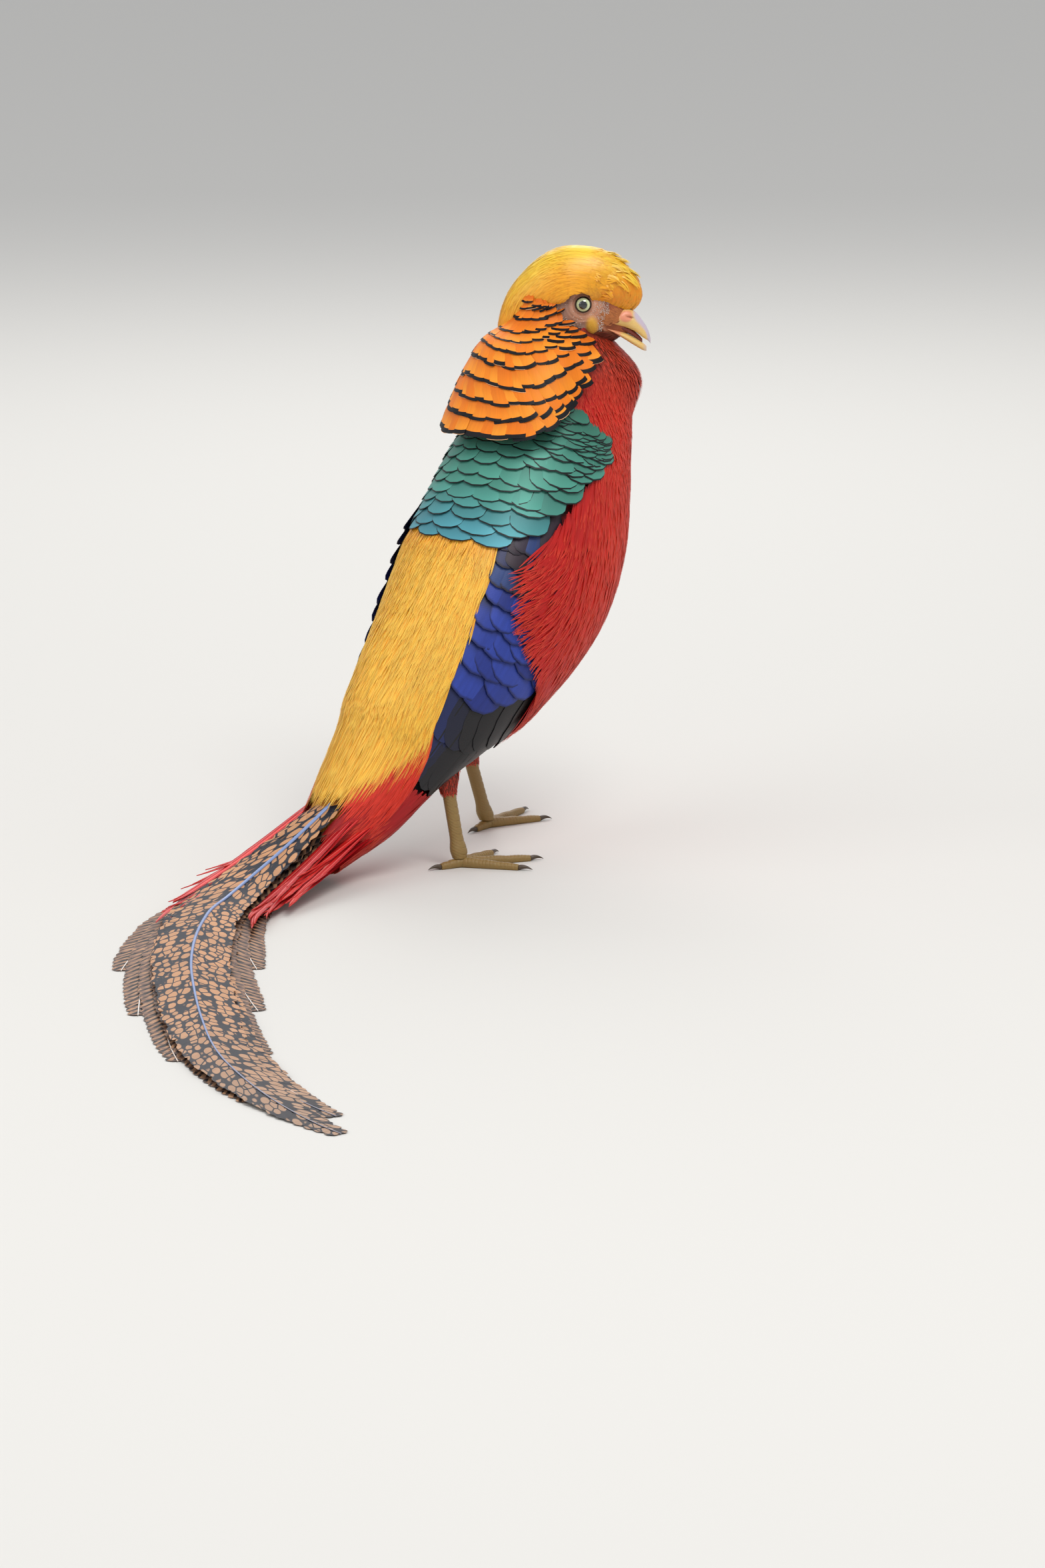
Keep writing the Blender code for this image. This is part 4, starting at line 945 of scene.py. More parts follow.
def breast_silk():
    # Body feather, its barbs loose at the tip: scarlet with hardly any gloss, crimson on the belly, rusty
    # brown at the throat, and darker crimson at the roots as painted shade in the depth of the coat.
    material, tree, shader = new_material("Breast silk, soft", 0.5, 0.3, SILK)
    station, angle, draw = channels(tree, "root")
    _, share, _ = channels(tree, "lay")
    turn = calc(tree, "ABSOLUTE", angle)
    front = fade(tree, turn, 90, 145, linear("c61a14"), linear("ea2c14"))
    colour = fade(tree, station, 3.5, 7.5, linear("b4161a"), front)
    colour = fade(tree, station, 11.4, 12.9, colour, linear("7a2a18"))
    colour = fade(tree, share, 0.7, 1.0, colour, linear("e2432c"))
    # Painted shade: darker at the roots, in the depth of the coat.
    colour = fade(tree, share, 0.0, 0.45, linear("b01414"), colour)
    colour = shade(tree, colour, draw, 0, 1, 0.85, 1.05)
    paint(tree, shader, streaks(tree, colour, 0.6, 0.2, 0.82, 1.0))
    return material


def face_silk():
    # Short feathers of lores and chin: matt, orange-brown before the eye and rust red under the bill,
    # darkened there as painted shadow under the bill, and darker at the roots as painted shade under the
    # feathers above.
    material, tree, shader = new_material("Face feathers, matt", 0.6, 0.25)
    _, turn, draw = channels(tree, "root")
    _, share, _ = channels(tree, "lay")
    side = calc(tree, "ABSOLUTE", turn)
    # Partly the chin's rust, partly painted shadow: darker low on the face, under the bill.
    colour = fade(tree, side, 100, 135, linear("b06a3c"), linear("6a2a1a"))
    # Painted shade: darker at the roots, under the feathers above.
    colour = fade(tree, share, 0.0, 0.6, linear("7a4028"), colour)
    paint(tree, shader, shade(tree, colour, draw, 0, 1, 0.8, 1.1))
    return material


def stubble_horn():
    # Sprouting feather sheaths on the bare skin: chalky white keratin, matt.
    material, tree, shader = new_material("Stubble, chalky", 0.7, 0.2)
    _, share, draw = channels(tree, "lay")
    colour = fade(tree, share, 0.0, 1.0, linear("c9ab98"), linear("efe6dc"))
    paint(tree, shader, shade(tree, colour, draw, 0, 1, 0.8, 1.0))
    return material


def under_skin():
    # Skin: bare and slightly translucent on the face, with pores about 1 mm apart, and under the coat
    # covered with matt down in a darker tone of the feathers above it, painted shade between the feathers.
    more = {"Subsurface Weight": 0.12, "Subsurface Scale": 0.001}
    material, tree, shader = new_material("Skin and down, matt", 0.58, 0.35, more)
    down = node(tree, "ShaderNodeAttribute", {"attribute_name": "down"})
    noise = node(tree, "ShaderNodeTexNoise", inputs={"Scale": 850.0, "Detail": 4.0})
    paint(tree, shader, shade(tree, down.outputs["Color"], noise, 0.3, 0.7, 0.72, 1.15))
    emboss(tree, shader, noise, 0.6, 0.0004)
    return material


def horn(name, roughness, scale):
    # Keratin horn, grown in layers: cloudy relief under a surface that use has polished.
    more = {"Subsurface Weight": 0.08, "Subsurface Scale": 0.001}
    material, tree, shader = new_material(name, roughness, 0.5, more)
    noise = node(tree, "ShaderNodeTexNoise", inputs={"Scale": scale, "Detail": 4.0})
    emboss(tree, shader, noise, 0.3, 0.0002)
    return material, tree, shader, noise


def cloudy_horn(name, base, pale, roughness, scale):
    # Horn of legs and claws, and the wet lining of the mouth: cloudy streaks of two near colours.
    material, tree, shader, noise = horn(name, roughness, scale)
    paint(tree, shader, fade(tree, noise, 0.35, 0.65, linear(base), linear(pale)))
    return material


def bill_horn():
    # Bill: polished horn, yellow at the cutting edges, lavender grey along the ridge and at the hook, with
    # a pink fleshy base round the nostrils.
    material, tree, shader, _ = horn("Bill horn, polished", 0.26, 160.0)
    _, ridge, flesh = channels(tree, "place")
    noise = node(tree, "ShaderNodeTexNoise", inputs={"Scale": 220.0, "Detail": 3.0})
    colour = fade(tree, noise, 0.3, 0.7, linear("d9a848"), linear("e9cc8a"))
    colour = fade(tree, ridge, 0.1, 0.9, colour, linear("c3b4c0"))
    paint(tree, shader, fade(tree, flesh, 0.15, 0.75, colour, linear("e0906e")))
    return material


def eye_material():
    # Eye: a black pupil in a pale yellow-green iris with a dark rim, under a wet, clear cornea.
    more = {"Coat Weight": 1.0, "Coat Roughness": 0.02}
    material, tree, shader = new_material("Eye, wet cornea", 0.05, 0.6, more)
    across, up, _ = channels(tree, "place")
    square = calc(tree, "MULTIPLY", up, up)
    both = calc(tree, "MULTIPLY_ADD", across, across, square)
    radius = calc(tree, "SQRT", both)
    iris = fade(tree, radius, 2.7, 3.7, linear("a9b184"), linear("d0d8a6"))
    iris = fade(tree, radius, 4.1, 4.6, iris, linear("1d1812"))
    paint(tree, shader, fade(tree, radius, 2.6, 2.8, (0.003, 0.003, 0.004), iris))
    return material


class CrestSettings(bpy.types.PropertyGroup):
    """Sizes and numbers of the crest's strands."""

    strands: IntProperty(
        name="Strands", description="How many strands each half has", default=4200, min=100
    )
    span: FloatProperty(
        name="Span", description="How many degrees of the crest a strand spans", default=46
    )
    width: FloatProperty(name="Width", description="Width of a strand in millimetres", default=1.9)
    tufts: IntProperty(
        name="Tufts", description="How many loose tufts stand at the forehead", default=30, min=0
    )


class CapeSettings(bpy.types.PropertyGroup):
    """Sizes and places of the cape's feathers."""

    width: FloatProperty(
        name="Width", description="Width of a feather of the lowest row, in millimetres", default=17
    )
    top_width: FloatProperty(
        name="Top width", description="Width of one of the top row, in millimetres", default=7
    )
    spacing: FloatProperty(
        name="Spacing", description="Space between feathers as a share of the width", default=0.6
    )
    lean: FloatProperty(
        name="Lean", description="How squarely feathers stand to their row, 1 for square", default=0.85
    )


class BackSettings(bpy.types.PropertyGroup):
    """Sizes and numbers of the mantle's scales and the rump's strands."""

    mantle_rows: IntProperty(name="Mantle rows", description="Rows of scale feathers", default=15, min=2)
    mantle_width: FloatProperty(
        name="Scale width", description="Width of a scale feather in millimetres", default=31
    )
    rump_strands: IntProperty(
        name="Rump strands", description="How many strands each half has", default=4700, min=100
    )
    rump_width: FloatProperty(
        name="Rump strand", description="Width of a strand in millimetres", default=1.4
    )


class BreastSettings(bpy.types.PropertyGroup):
    """Size and number of the breast's strands."""

    strands: IntProperty(
        name="Strands", description="How many strands each quarter has", default=4900, min=100
    )
    width: FloatProperty(name="Width", description="Width of a strand in millimetres", default=2.5)


class TailSettings(bpy.types.PropertyGroup):
    """Sizes and numbers for the tail's feathers."""

    length: FloatProperty(
        name="Length", description="Length of the upper feather in millimetres", default=CENTRAL_LENGTH
    )
    width: FloatProperty(
        name="Width", description="Width of the central feathers in millimetres", default=47
    )
    clumps: IntProperty(
        name="Clumps", description="Clumps of barbs on each side of a feather", default=72, min=8
    )


class StageSettings(bpy.types.PropertyGroup):
    """The floor's colour and the light's power."""

    floor: FloatVectorProperty(
        name="Floor", description="Colour of the floor", subtype="COLOR", default=linear("d6d3cd")
    )
    light: FloatProperty(
        name="Light", description="Power of the main light in watts", default=50.0, unit="POWER"
    )


def down_in_painted_shade(s, angle):
    """Colour of the down at each place of the trunk: that of the tract above it, darkened as painted shade
    under the feathers.
    """
    turn = np.abs(np.where(angle > 180, angle - 360, angle))
    # Painted shade: each tract's colour much darker, and black under the wings.
    red, gold, teal = (np.array(linear(c)) for c in ("8a1014", "b8781c", "1c3f38"))
    black, orange, rust = (np.array(linear(c)) for c in ("131218", "a04c10", "5a1c10"))
    colour = np.broadcast_to(red, (*np.shape(s), 3)).copy()
    inside = turn < read(RED_EDGE, s)
    colour[inside & (s < 7.3)] = black
    colour[(turn < read(RUMP_EDGE, s)) & (s < 7.4)] = gold
    colour[(turn >= read(RUMP_EDGE, s)) & (s < 1.4)] = red
    colour[inside & (s >= 7.3)] = teal
    colour[(s >= 10.4) & (turn < 100)] = orange
    colour[(s >= 12.3) & (turn >= 96)] = rust
    return colour


def skin_depth(s, angle):
    """Height of the skin over the closed coat, so a negative number."""
    turn = np.abs(np.where(angle > 180, angle - 360, angle))
    inside = 1 - smooth_step(0, 12, turn - read(RED_EDGE, s))
    rump = smooth_step(2, -6, turn - read(RUMP_EDGE, s)) * smooth_step(7.5, 6.9, s)
    deeper = (UNDER_VANES - DOWN) * inside * (1 - smooth_step(10.2, 10.8, s)) * (1 - 0.8 * rump)
    return -DOWN - deeper


def mouth_edges(u):
    """Heights of the mouth's upper and lower edge."""
    return (read([(row[0], row[i]) for row in MOUTH], u) for i in (1, 2))


def face_rings():
    """Rings of the skull with the eye's socket, lids, brow, cheek folds and wattle worked into them."""
    rows = spline(SKULL, np.linspace(0, len(SKULL) - 1, 200))
    turn = np.linspace(0, math.tau, 200, endpoint=False)
    u = np.repeat(rows[:, :1], len(turn), axis=1)
    middle, high, half = (rows[:, i : i + 1] for i in (1, 2, 3))
    v = half * np.sin(turn)
    w = middle + high * np.cos(turn)
    sign, reach = np.sign(v), np.hypot(u, w)
    way = np.arctan2(w, u)
    # The lids and the folds of skin round them, the eye's socket and the wattle.
    off_lid = reach - LID_OPENING
    push = 1.5 * bell(off_lid, 0.7, 0.7)
    push += 0.5 * bell(off_lid, 2.6, 0.45) * (1 + 0.5 * np.cos(way - 0.8))
    push += 0.4 * bell(off_lid, 4.2, 0.5) * (1 - 0.5 * np.cos(way))
    push += 0.3 * bell(off_lid, 6.2, 0.6) * (w < 0)
    push -= 5.5 * (1 - smooth_step(LID_OPENING - 1.2, LID_OPENING + 0.2, reach))
    push += 3.0 * oval(u, w, WATTLE, 2.2)
    # A pair of folds along the cheek, the brow and the mouth's groove.
    crease = np.abs(w + 15 - 0.25 * (u + 6))
    push += 0.5 * bell(crease, 2.2, 0.9) * smooth_step(-16, -10, u) * (1 - smooth_step(0, 5, u))
    push += 0.9 * bell(w - 8.5 - 0.12 * u, 0, 2.2) * (1 - smooth_step(14, 20, np.abs(u)))
    top, bottom = mouth_edges(u)
    groove = 2.2 * smooth_step(bottom - 1.5, bottom + 1, w) * smooth_step(top + 1, top - 1, w)
    push -= groove * smooth_step(12, 17, u)
    v = v + sign * push * np.abs(np.sin(turn)) ** 0.6
    return head_point(u, v, w), u, w


def face_colour(u, w):
    """Bare skin of the face: warm at the eye, grey-brown behind, ochre wattle, dark lids and painted shadow
    under the bill.
    """
    colour = np.broadcast_to(np.array(linear("c08668")), (*u.shape, 3)).copy()
    reach = np.hypot(u, w)
    at, level, long, tall = WATTLE
    ochre = oval(u, w, (at, level, long * 1.1, tall * 1.05), 3)
    for tone, share in (
        ("a07c6c", 0.85 * smooth_step(-4, -12, u)),
        ("b5988a", 0.8 * smooth_step(-8, -16, w) * smooth_step(8, 0, u)),
        ("9a5230", smooth_step(11, 16, u)),
        # Partly the chin's dark rust, partly painted shadow under the bill.
        ("4c1e14", smooth_step(-18, -22, w) * smooth_step(2, 8, u)),
        ("dba338", ochre),
        ("d7a58c", 0.6 * bell(reach - LID_OPENING, 2.6, 0.8)),
        ("3c2a22", 0.9 * (1 - smooth_step(LID_OPENING + 0.2, LID_OPENING + 1.1, reach))),
        ("d08a12", smooth_step(6, 9, w)),
    ):
        colour = mix(colour, np.array(linear(tone)), np.asarray(share)[..., None])
    return colour


def add_skin():
    """One closed skin: trunk and neck, skull with its face, crown under the crest and both thighs."""
    material = under_skin()
    s, angle = grid((-0.1, 13.1, 150), (0, 360, 96))
    rings = trunk_point(s, angle, skin_depth(s, angle))
    skin = loft("skin", rings, material, window=(0.01, 0.01, 0.55, 0.99))
    set_attribute(skin.data, "down", down_in_painted_shade(s, angle))
    rings, u, w = face_rings()
    skull = loft("skull", rings, material, window=(0.57, 0.4, 0.99, 0.99))
    set_attribute(skull.data, "down", face_colour(u, w))
    turn, side = grid((4, 185, 60), (-70, 70, 40), closed=False)
    top, inner = crest_point(turn, side, 0.68 * read(CREST_DEPTH, turn)), crest_point(turn, side, -5.0)
    shell = np.concatenate([top, inner[:, ::-1]], axis=1)
    crown = loft("crown", shell, material, window=(0.57, 0.2, 0.99, 0.38))
    set_attribute(crown.data, "down", np.tile(linear("e09a14"), (2 * turn.size, 1)))
    pieces = [skull, crown]
    for i, name in enumerate(LEGS):
        z, angle = grid((THIGH_BOTTOM - 1, THIGH_TOP, 24), (0, 360, 32))
        low = 0.01 + 0.09 * i
        window = (0.57, low, 0.99, low + 0.08)
        thigh = loft(f"thigh_{name}", leg_point(name, z, angle, -1.2), material, window=window)
        # Painted shade: the down under the thigh feathers is a dark red.
        set_attribute(thigh.data, "down", np.tile(linear("7a0f12"), (z.size, 1)))
        pieces.append(thigh)
    bpy.context.view_layer.objects.active = skin
    for piece in pieces:
        union = skin.modifiers.new(piece.name, "BOOLEAN")
        union.operation = "UNION"
        union.solver = "MANIFOLD"
        union.object = piece
        bpy.ops.object.modifier_apply(modifier=union.name)
        bpy.data.objects.remove(piece)
    skin.data.shade_smooth()
    finish(skin, "plumage_red", "torso", "neck", "head", "thigh_right", "thigh_left")


def add_eyes():
    """Both eyeballs, with a bulging cornea."""
    material = eye_material()
    for side, sign in (("right", 1), ("left", -1)):
        lean, turn = grid((0.02, math.pi - 0.02, 48), (0, math.tau, 64))
        out = EYE_RADIUS * np.cos(lean)
        out = out + 0.35 * bell(np.sin(lean) * EYE_RADIUS, 0, 3.2) * (out > 0)
        u, w = EYE_RADIUS * np.sin(lean) * np.cos(turn), EYE_RADIUS * np.sin(lean) * np.sin(turn)
        points = head_point(u, sign * (EYE_SIDE + out), w)
        eye = loft(f"eyeball_{side}", points, material, np.stack([u, w, out], axis=-1).reshape(-1, 3))
        finish(eye, "eye", f"eye_{side}")


def mandible_rings(rows, steps, power, narrow):
    """Rings of one half of the bill, from its rows."""
    table = spline(rows, np.linspace(0, len(rows) - 1, steps))
    turn = np.linspace(0, math.tau, 56, endpoint=False)
    middle, high = (table[:, 1:2] + table[:, 2:3]) / 2, (table[:, 1:2] - table[:, 2:3]) / 2
    side = np.sign(np.sin(turn)) * np.abs(np.sin(turn)) ** power
    v = table[:, 3:4] * side * (1 - narrow * np.cos(turn))
    w = middle + high * np.cos(turn)
    return np.repeat(table[:, :1], len(turn), axis=1), v, w


def add_bill():
    """The bill, slightly open: hooked upper half with nostrils, lower half and the mouth's lining.

    The second and third values of its chart say where the horn is grey and where the fleshy base is.
    """
    material = bill_horn()
    u, v, w = mandible_rings(BILL_UPPER, 90, 0.8, 0.12)
    slit = oval(u, w + 0.25 * (u - NOSTRIL[0]), NOSTRIL, 2)
    lip = oval(u, w, NOSTRIL_FOLD, 2)
    v = v + np.sign(v) * (0.9 * lip - 2.2 * slit)
    top = (w - w.min(axis=1, keepdims=True)) / np.ptp(w, axis=1, keepdims=True)
    grey = smooth_step(0.35, 0.9, top) * smooth_step(29, 35, u) + 0.8 * smooth_step(39, 42, u)
    chart = np.stack([0 * u, np.minimum(grey, 1), lip * smooth_step(34, 29, u)], axis=-1)
    upper = loft("bill_top", head_point(u, v, w), material, chart.reshape(-1, 3))
    finish(upper, "horn_bill", "bill_upper")
    u, v, w = mandible_rings(BILL_LOWER, 70, 0.85, -0.1)
    chart = np.stack([0 * u, 0.5 * smooth_step(36, 40, u), 0.6 * smooth_step(27, 22, u)], axis=-1)
    lower = loft("bill_bottom", head_point(u, v, w), material, chart.reshape(-1, 3))
    finish(lower, "horn_bill", "bill_lower")
    mouth = cloudy_horn("Mouth lining, wet", "5a1c14", "823428", 0.25, 300.0)
    rings = head_point(*mandible_rings(MOUTH_LINING, 24, 1.0, 0.0))
    finish(loft("mouth_lining", rings, mouth), "skin_face")


def add_face():
    """Short feathers of lores and chin, and pale stubble along the edge of the bare skin."""
    random = np.random.default_rng(SEED + 20)
    root = scatter(random, 10500, -27, 12, -180, 180)
    u, w = face_place(root)
    bare = (w < BARE_TOP) & (w > read(BARE_EDGE, u))
    top, bottom = mouth_edges(u)
    mouth = (u > 13) & (w < top + 0.3) & (w > bottom - 0.4)
    sides = (u > 3) | (w < -16)
    root = root[~bare & ~mouth & sides & (w < FACE_TOP) & (np.abs(root[:, 1]) > 50)]
    chin = face_place(root)[1] < -18
    length = random.uniform(3.0, 4.6, len(root)) + 2.5 * chin
    tip = root + np.stack([length, random.normal(0, 4, len(root))], axis=-1)
    high = random.uniform(0.2, 0.5, len(root)) + random.uniform(0.6, 1.6, len(root)) * chin
    width = random.uniform(0.6, 1.1, len(root))
    obj = feathers(
        "face_feathers", face_point, root, tip, width, -0.4, high, face_silk(),
        chart=FACE_CHART, steps=4, thick=0.1, sway=random.normal(0, 2, len(root)),
    )
    finish(obj, "plumage_red")
    root = scatter(random, 9000, -17, 17, -180, 180)
    u, w = face_place(root)
    low = read(BARE_EDGE, u)
    near = bell(w - low, 1.5, 2.6) + 0.08 * (np.hypot(u, w) > LID_OPENING + 2)
    ring = bell(np.hypot(u, w) - LID_OPENING, 3.2, 0.9) * (u > -2)
    front = smooth_step(8, 12, u) * (w < 2) * (w > -20)
    dense = 0.4 * near + 0.25 * ring + 0.55 * front
    root = root[(random.random(len(root)) < dense) & (w > low - 1) & (w < FACE_TOP) & (u < 17)]
    tip = root + np.stack([np.full(len(root), 0.8), np.zeros(len(root))], axis=-1)
    width = random.uniform(0.35, 0.6, len(root))
    obj = feathers(
        "face_stubble", face_point, root, tip, width, -0.2, 0.7, stubble_horn(), chart=FACE_CHART, steps=2,
    )
    finish(obj, "skin_face")


def face_place(root):
    """How far ahead of the eyes and how high above them roots on the skull are."""
    middle, high, _ = np.moveaxis(keyed(SKULL, -root[:, 0]), -1, 0)
    return -root[:, 0], middle + high * np.cos(np.radians(root[:, 1]))


def forehead_tufts(random, count):
    """Strands of loose tufts at the forehead: roots, tips and the height of the tips."""
    centre = random.uniform(8, 62, count)
    lean = random.uniform(-6, 64, count)
    pick = np.repeat(np.arange(count), TUFT_STRANDS)
    size = len(pick)
    centre, lean = centre[pick], lean[pick]
    root = np.stack([centre + random.uniform(5, 22, size), lean + random.normal(0, 5, size)], axis=-1)
    tip = np.stack([centre - random.uniform(0, 5, size), lean + random.normal(0, 1.2, size)], axis=-1)
    return root, tip, 12.2 + random.uniform(0.5, 4.2, count)[pick] + random.normal(0, 0.3, size)


def add_crest(settings):
    """Silky strands from the forehead over the crown to the nape, with loose tufts at the front."""
    material = crest_silk()
    for half, sign in (("right", 1), ("left", -1)):
        random = np.random.default_rng(SEED + 1)
        root = scatter(random, settings.strands, -9, 170, -4, 76)
        count = len(root)
        edge = smooth_step(60, 76, root[:, 1])
        grown = mix(0.5, 1, smooth_step(0, 55, root[:, 0]))
        span = settings.span * random.uniform(0.75, 1.25, count) * grown
        tip = root + np.stack([span, -0.06 * root[:, 1] + random.normal(0, 2.0, count)], axis=-1)
        end = 203 - 34 * (np.abs(tip[:, 1]) / 80) ** 2 + random.normal(0, 2, count)
        tip[:, 0] = np.minimum(tip[:, 0], end)
        root[:, 0] = np.minimum(root[:, 0], tip[:, 0] - 8)
        depth = read(CREST_DEPTH, root[:, 0] + span / 2)
        low = depth * random.uniform(0.78, 0.88, count)
        high = depth * random.uniform(0.95, 1.0, count) - 1.5 * edge
        width = settings.width * random.uniform(0.7, 1.3, count)
        start, stop, stand = forehead_tufts(random, settings.tufts)
        root = np.concatenate([root, start]) * (1, sign)
        tip = np.concatenate([tip, stop]) * (1, sign)
        width = np.concatenate([width, random.uniform(0.9, 1.5, len(start))])
        low, high = np.concatenate([low, np.full(len(start), 9.5)]), np.concatenate([high, stand])
        obj = feathers(
            f"crest_strands_{half}", crest_point, root, tip, width, low, high, material, chart=CREST_CHART,
            thick=0.08, sway=random.normal(0, 0.8, len(root)), power=0.4,
        )
        finish(obj, "plumage_crest", *(["crest"] if sign > 0 else []))


def cape_point(s, angle, rise=0.0):
    """A point of the closed cape: it stands off the neck at the nape and meets the skull at the face."""
    s, angle, rise = spread(s, angle, rise)
    turn = np.abs(angle)
    upper = smooth_step(11.6, 13.9, s)
    side = mix(7, 2, upper)
    nape = mix(np.cos(np.radians(np.minimum(turn, 90))), smooth_step(62, 12, turn), upper)
    return trunk_point(s, angle, mix(side, read(CAPE_BULGE, s), nape) + rise)


def add_cape(settings):
    """Rows of square-ended vanes round the neck, each with its end bar, smaller towards the ear."""
    random = np.random.default_rng(SEED + 2)
    roots, tips, widths = [], [], []
    for row, (last, stations) in enumerate(CAPE_ROWS):
        share = row / (len(CAPE_ROWS) - 1)
        edge = list(zip(CAPE_ANGLES, stations))
        line = np.linspace(-last, last, 241)
        points = cape_point(read(edge, np.abs(line)), line)
        way = np.concatenate([[0], np.cumsum(np.linalg.norm(np.diff(points, axis=0), axis=-1))])
        width = mix(settings.width, settings.top_width, share)
        count = int(round(way[-1] / (settings.spacing * width)))
        place = (np.arange(count) + 0.5 + 0.25 * (-1) ** row + random.uniform(-0.15, 0.15, count)) / count
        angle = np.interp(place * way[-1], way, line)
        turn = np.abs(angle)
        tip = read(edge, turn) + random.normal(0, mix(0.03, 0.015, share), count)
        step = np.interp(angle, line, np.gradient(way, line))
        rise = (read(edge, turn + 4) - read(edge, turn - 4)) / 8 * STATION
        slope = np.arcsin(np.clip(settings.lean * rise / step, -0.5, 0.55))
        length = mix(27, 15, share) * random.uniform(0.95, 1.05, count)
        climb, lean = length * np.cos(slope) / STATION, length * np.tan(slope) / step
        kept = np.full(count, 0.3)
        for part in np.linspace(0.3, 1, 29):
            kept = np.where(tip + part * climb < read(CAPE_START, turn - part * lean), part, kept)
        roots.append(np.stack([tip + kept * climb, np.sign(angle) * (turn - kept * lean)], axis=-1))
        tips.append(np.stack([tip, angle], axis=-1))
        widths.append(width * random.uniform(0.85, 1.15, count))
    root, tip, width = (np.concatenate(values) for values in (roots, tips, widths))
    low = -1.9 - 2.5 * smooth_step(13.2, 13.7, root[:, 0])
    high = random.normal(0, 0.12, len(root))
    obj = feathers(
        "cape_vanes", cape_point, root, tip, width, low, high, cape_vane(), SQUARE,
        chart=(9, 14.6, -124, 124), steps=6, thick=0.16, camber=width * 0.02, cells=True,
        roll=0.25 * np.where(random.random(len(root)) < 0.85, 1, -0.5),
    )
    finish(obj, "plumage_cape", "cape")


def add_mantle(settings):
    """Rows of broad round scale feathers over the upper back."""
    random = np.random.default_rng(SEED + 3)
    roots, tips, widths = [], [], []
    for row in range(settings.mantle_rows + 2):
        height = row / settings.mantle_rows
        width = settings.mantle_width * mix(1.0, 0.65, height)
        count = int(round(2 * MANTLE_SIDE * mix(1.12, 0.95, height) / (0.7 * width)))
        place = np.arange(count) + 0.25 + 0.5 * (row % 2) + random.uniform(-0.08, 0.08, count)
        angle = mix(-MANTLE_SIDE, MANTLE_SIDE, place / count)
        turn = np.abs(angle)
        tip = mix(read(MANTLE_EDGE, turn), read(MANTLE_TOP, turn), height) + random.normal(0, 0.03, count)
        roots.append(np.stack([tip + 0.95, angle * 0.97], axis=-1))
        tips.append(np.stack([tip, angle], axis=-1))
        widths.append(width * random.uniform(0.92, 1.08, count))
    root, tip, width = (np.concatenate(values) for values in (roots, tips, widths))
    obj = feathers(
        "mantle_scales", trunk_point, root, tip, width, -5.2, 0.3 + random.normal(0, 0.12, len(root)),
        mantle_scale(), SCALE, chart=TRACTS, steps=7, thick=0.2, cells=True, power=0.7,
        camber=0.35, roll=0.35 * np.where(random.random(len(root)) < 0.6, 1, -1),
    )
    finish(obj, "plumage_green", "mantle")


def add_rump(settings):
    """Long golden strands over the lower back, hanging over the root of the tail."""
    material = rump_silk()
    for half, sign in (("right", 1), ("left", -1)):
        random = np.random.default_rng(SEED + 4)
        root = scatter(random, settings.rump_strands, 1.25, 7.9, -0.06, 1.02)
        count = len(root)
        length = random.uniform(0.85, 1.3, count)
        s = root[:, 0]
        tip_s = np.maximum(s - length, 0.15 + random.uniform(0, 0.6, count))
        share = root[:, 1]
        root = np.stack([s, share * read(RUMP_EDGE, s) * 0.98], axis=-1)
        tip_angle = share * read(RUMP_EDGE, tip_s + 0.25) + random.normal(0, 1.2, count)
        root, tip = root * (1, sign), np.stack([tip_s, tip_angle], axis=-1) * (1, sign)
        width = settings.rump_width * random.uniform(0.7, 1.3, count)
        low = -3.6 - 2.5 * smooth_step(6.8, 7.5, s)
        high = random.uniform(-0.6, 0.4, count)
        obj = feathers(
            f"rump_strands_{half}", trunk_point, root, tip, width, low, high, material,
            chart=TRACTS, steps=4, thick=0.14, sway=random.normal(0, 0.6, count), power=0.5,
        )
        finish(obj, "plumage_gold", *(["rump"] if sign > 0 else []))


# Feathers of a folded wing in rows: stations of the roots above the tips, a table of the tips as angle
# and station, the count, the width, and the height of the tips over the coat.
FLIGHT_ROWS = (
    (3.4, ((64, 1.9), (80, 1.66), (99, 1.75), (118, 1.95), (158, 2.5)), 12, 25, -2.8),
    (2.8, ((58, 2.75), (76, 2.6), (92, 2.9), (108, 3.3), (152, 3.9)), 8, 32, -2.0),
)
COVERT_ROWS = (
    (1.7, ((53, 3.75), (70, 3.6), (84, 4.05), (100, 4.6), (128, 5.3)), 6, 34, -1.6),
    (1.5, ((51, 4.35), (70, 4.25), (84, 4.6), (100, 5.0), (122, 5.6)), 6, 31, -1.3),
    (1.4, ((49, 4.9), (66, 4.85), (84, 5.05), (106, 5.5)), 6, 28, -1.0),
    (1.3, ((47, 5.45), (66, 5.4), (84, 5.55), (102, 5.9)), 6, 25, -0.8),
    (1.3, ((46, 5.95), (66, 5.9), (84, 6.05), (94, 6.3)), 6, 22, -0.9),
    (1.3, ((45, 6.35), (64, 6.4), (82, 6.55), (86, 6.6)), 6, 18, -0.9),
    (1.3, ((44, 6.8), (64, 6.85), (79, 7.0)), 6, 16, -1.0),
    (1.2, ((42, 7.2), (64, 7.3), (73, 7.4)), 6, 15, -1.4),
)


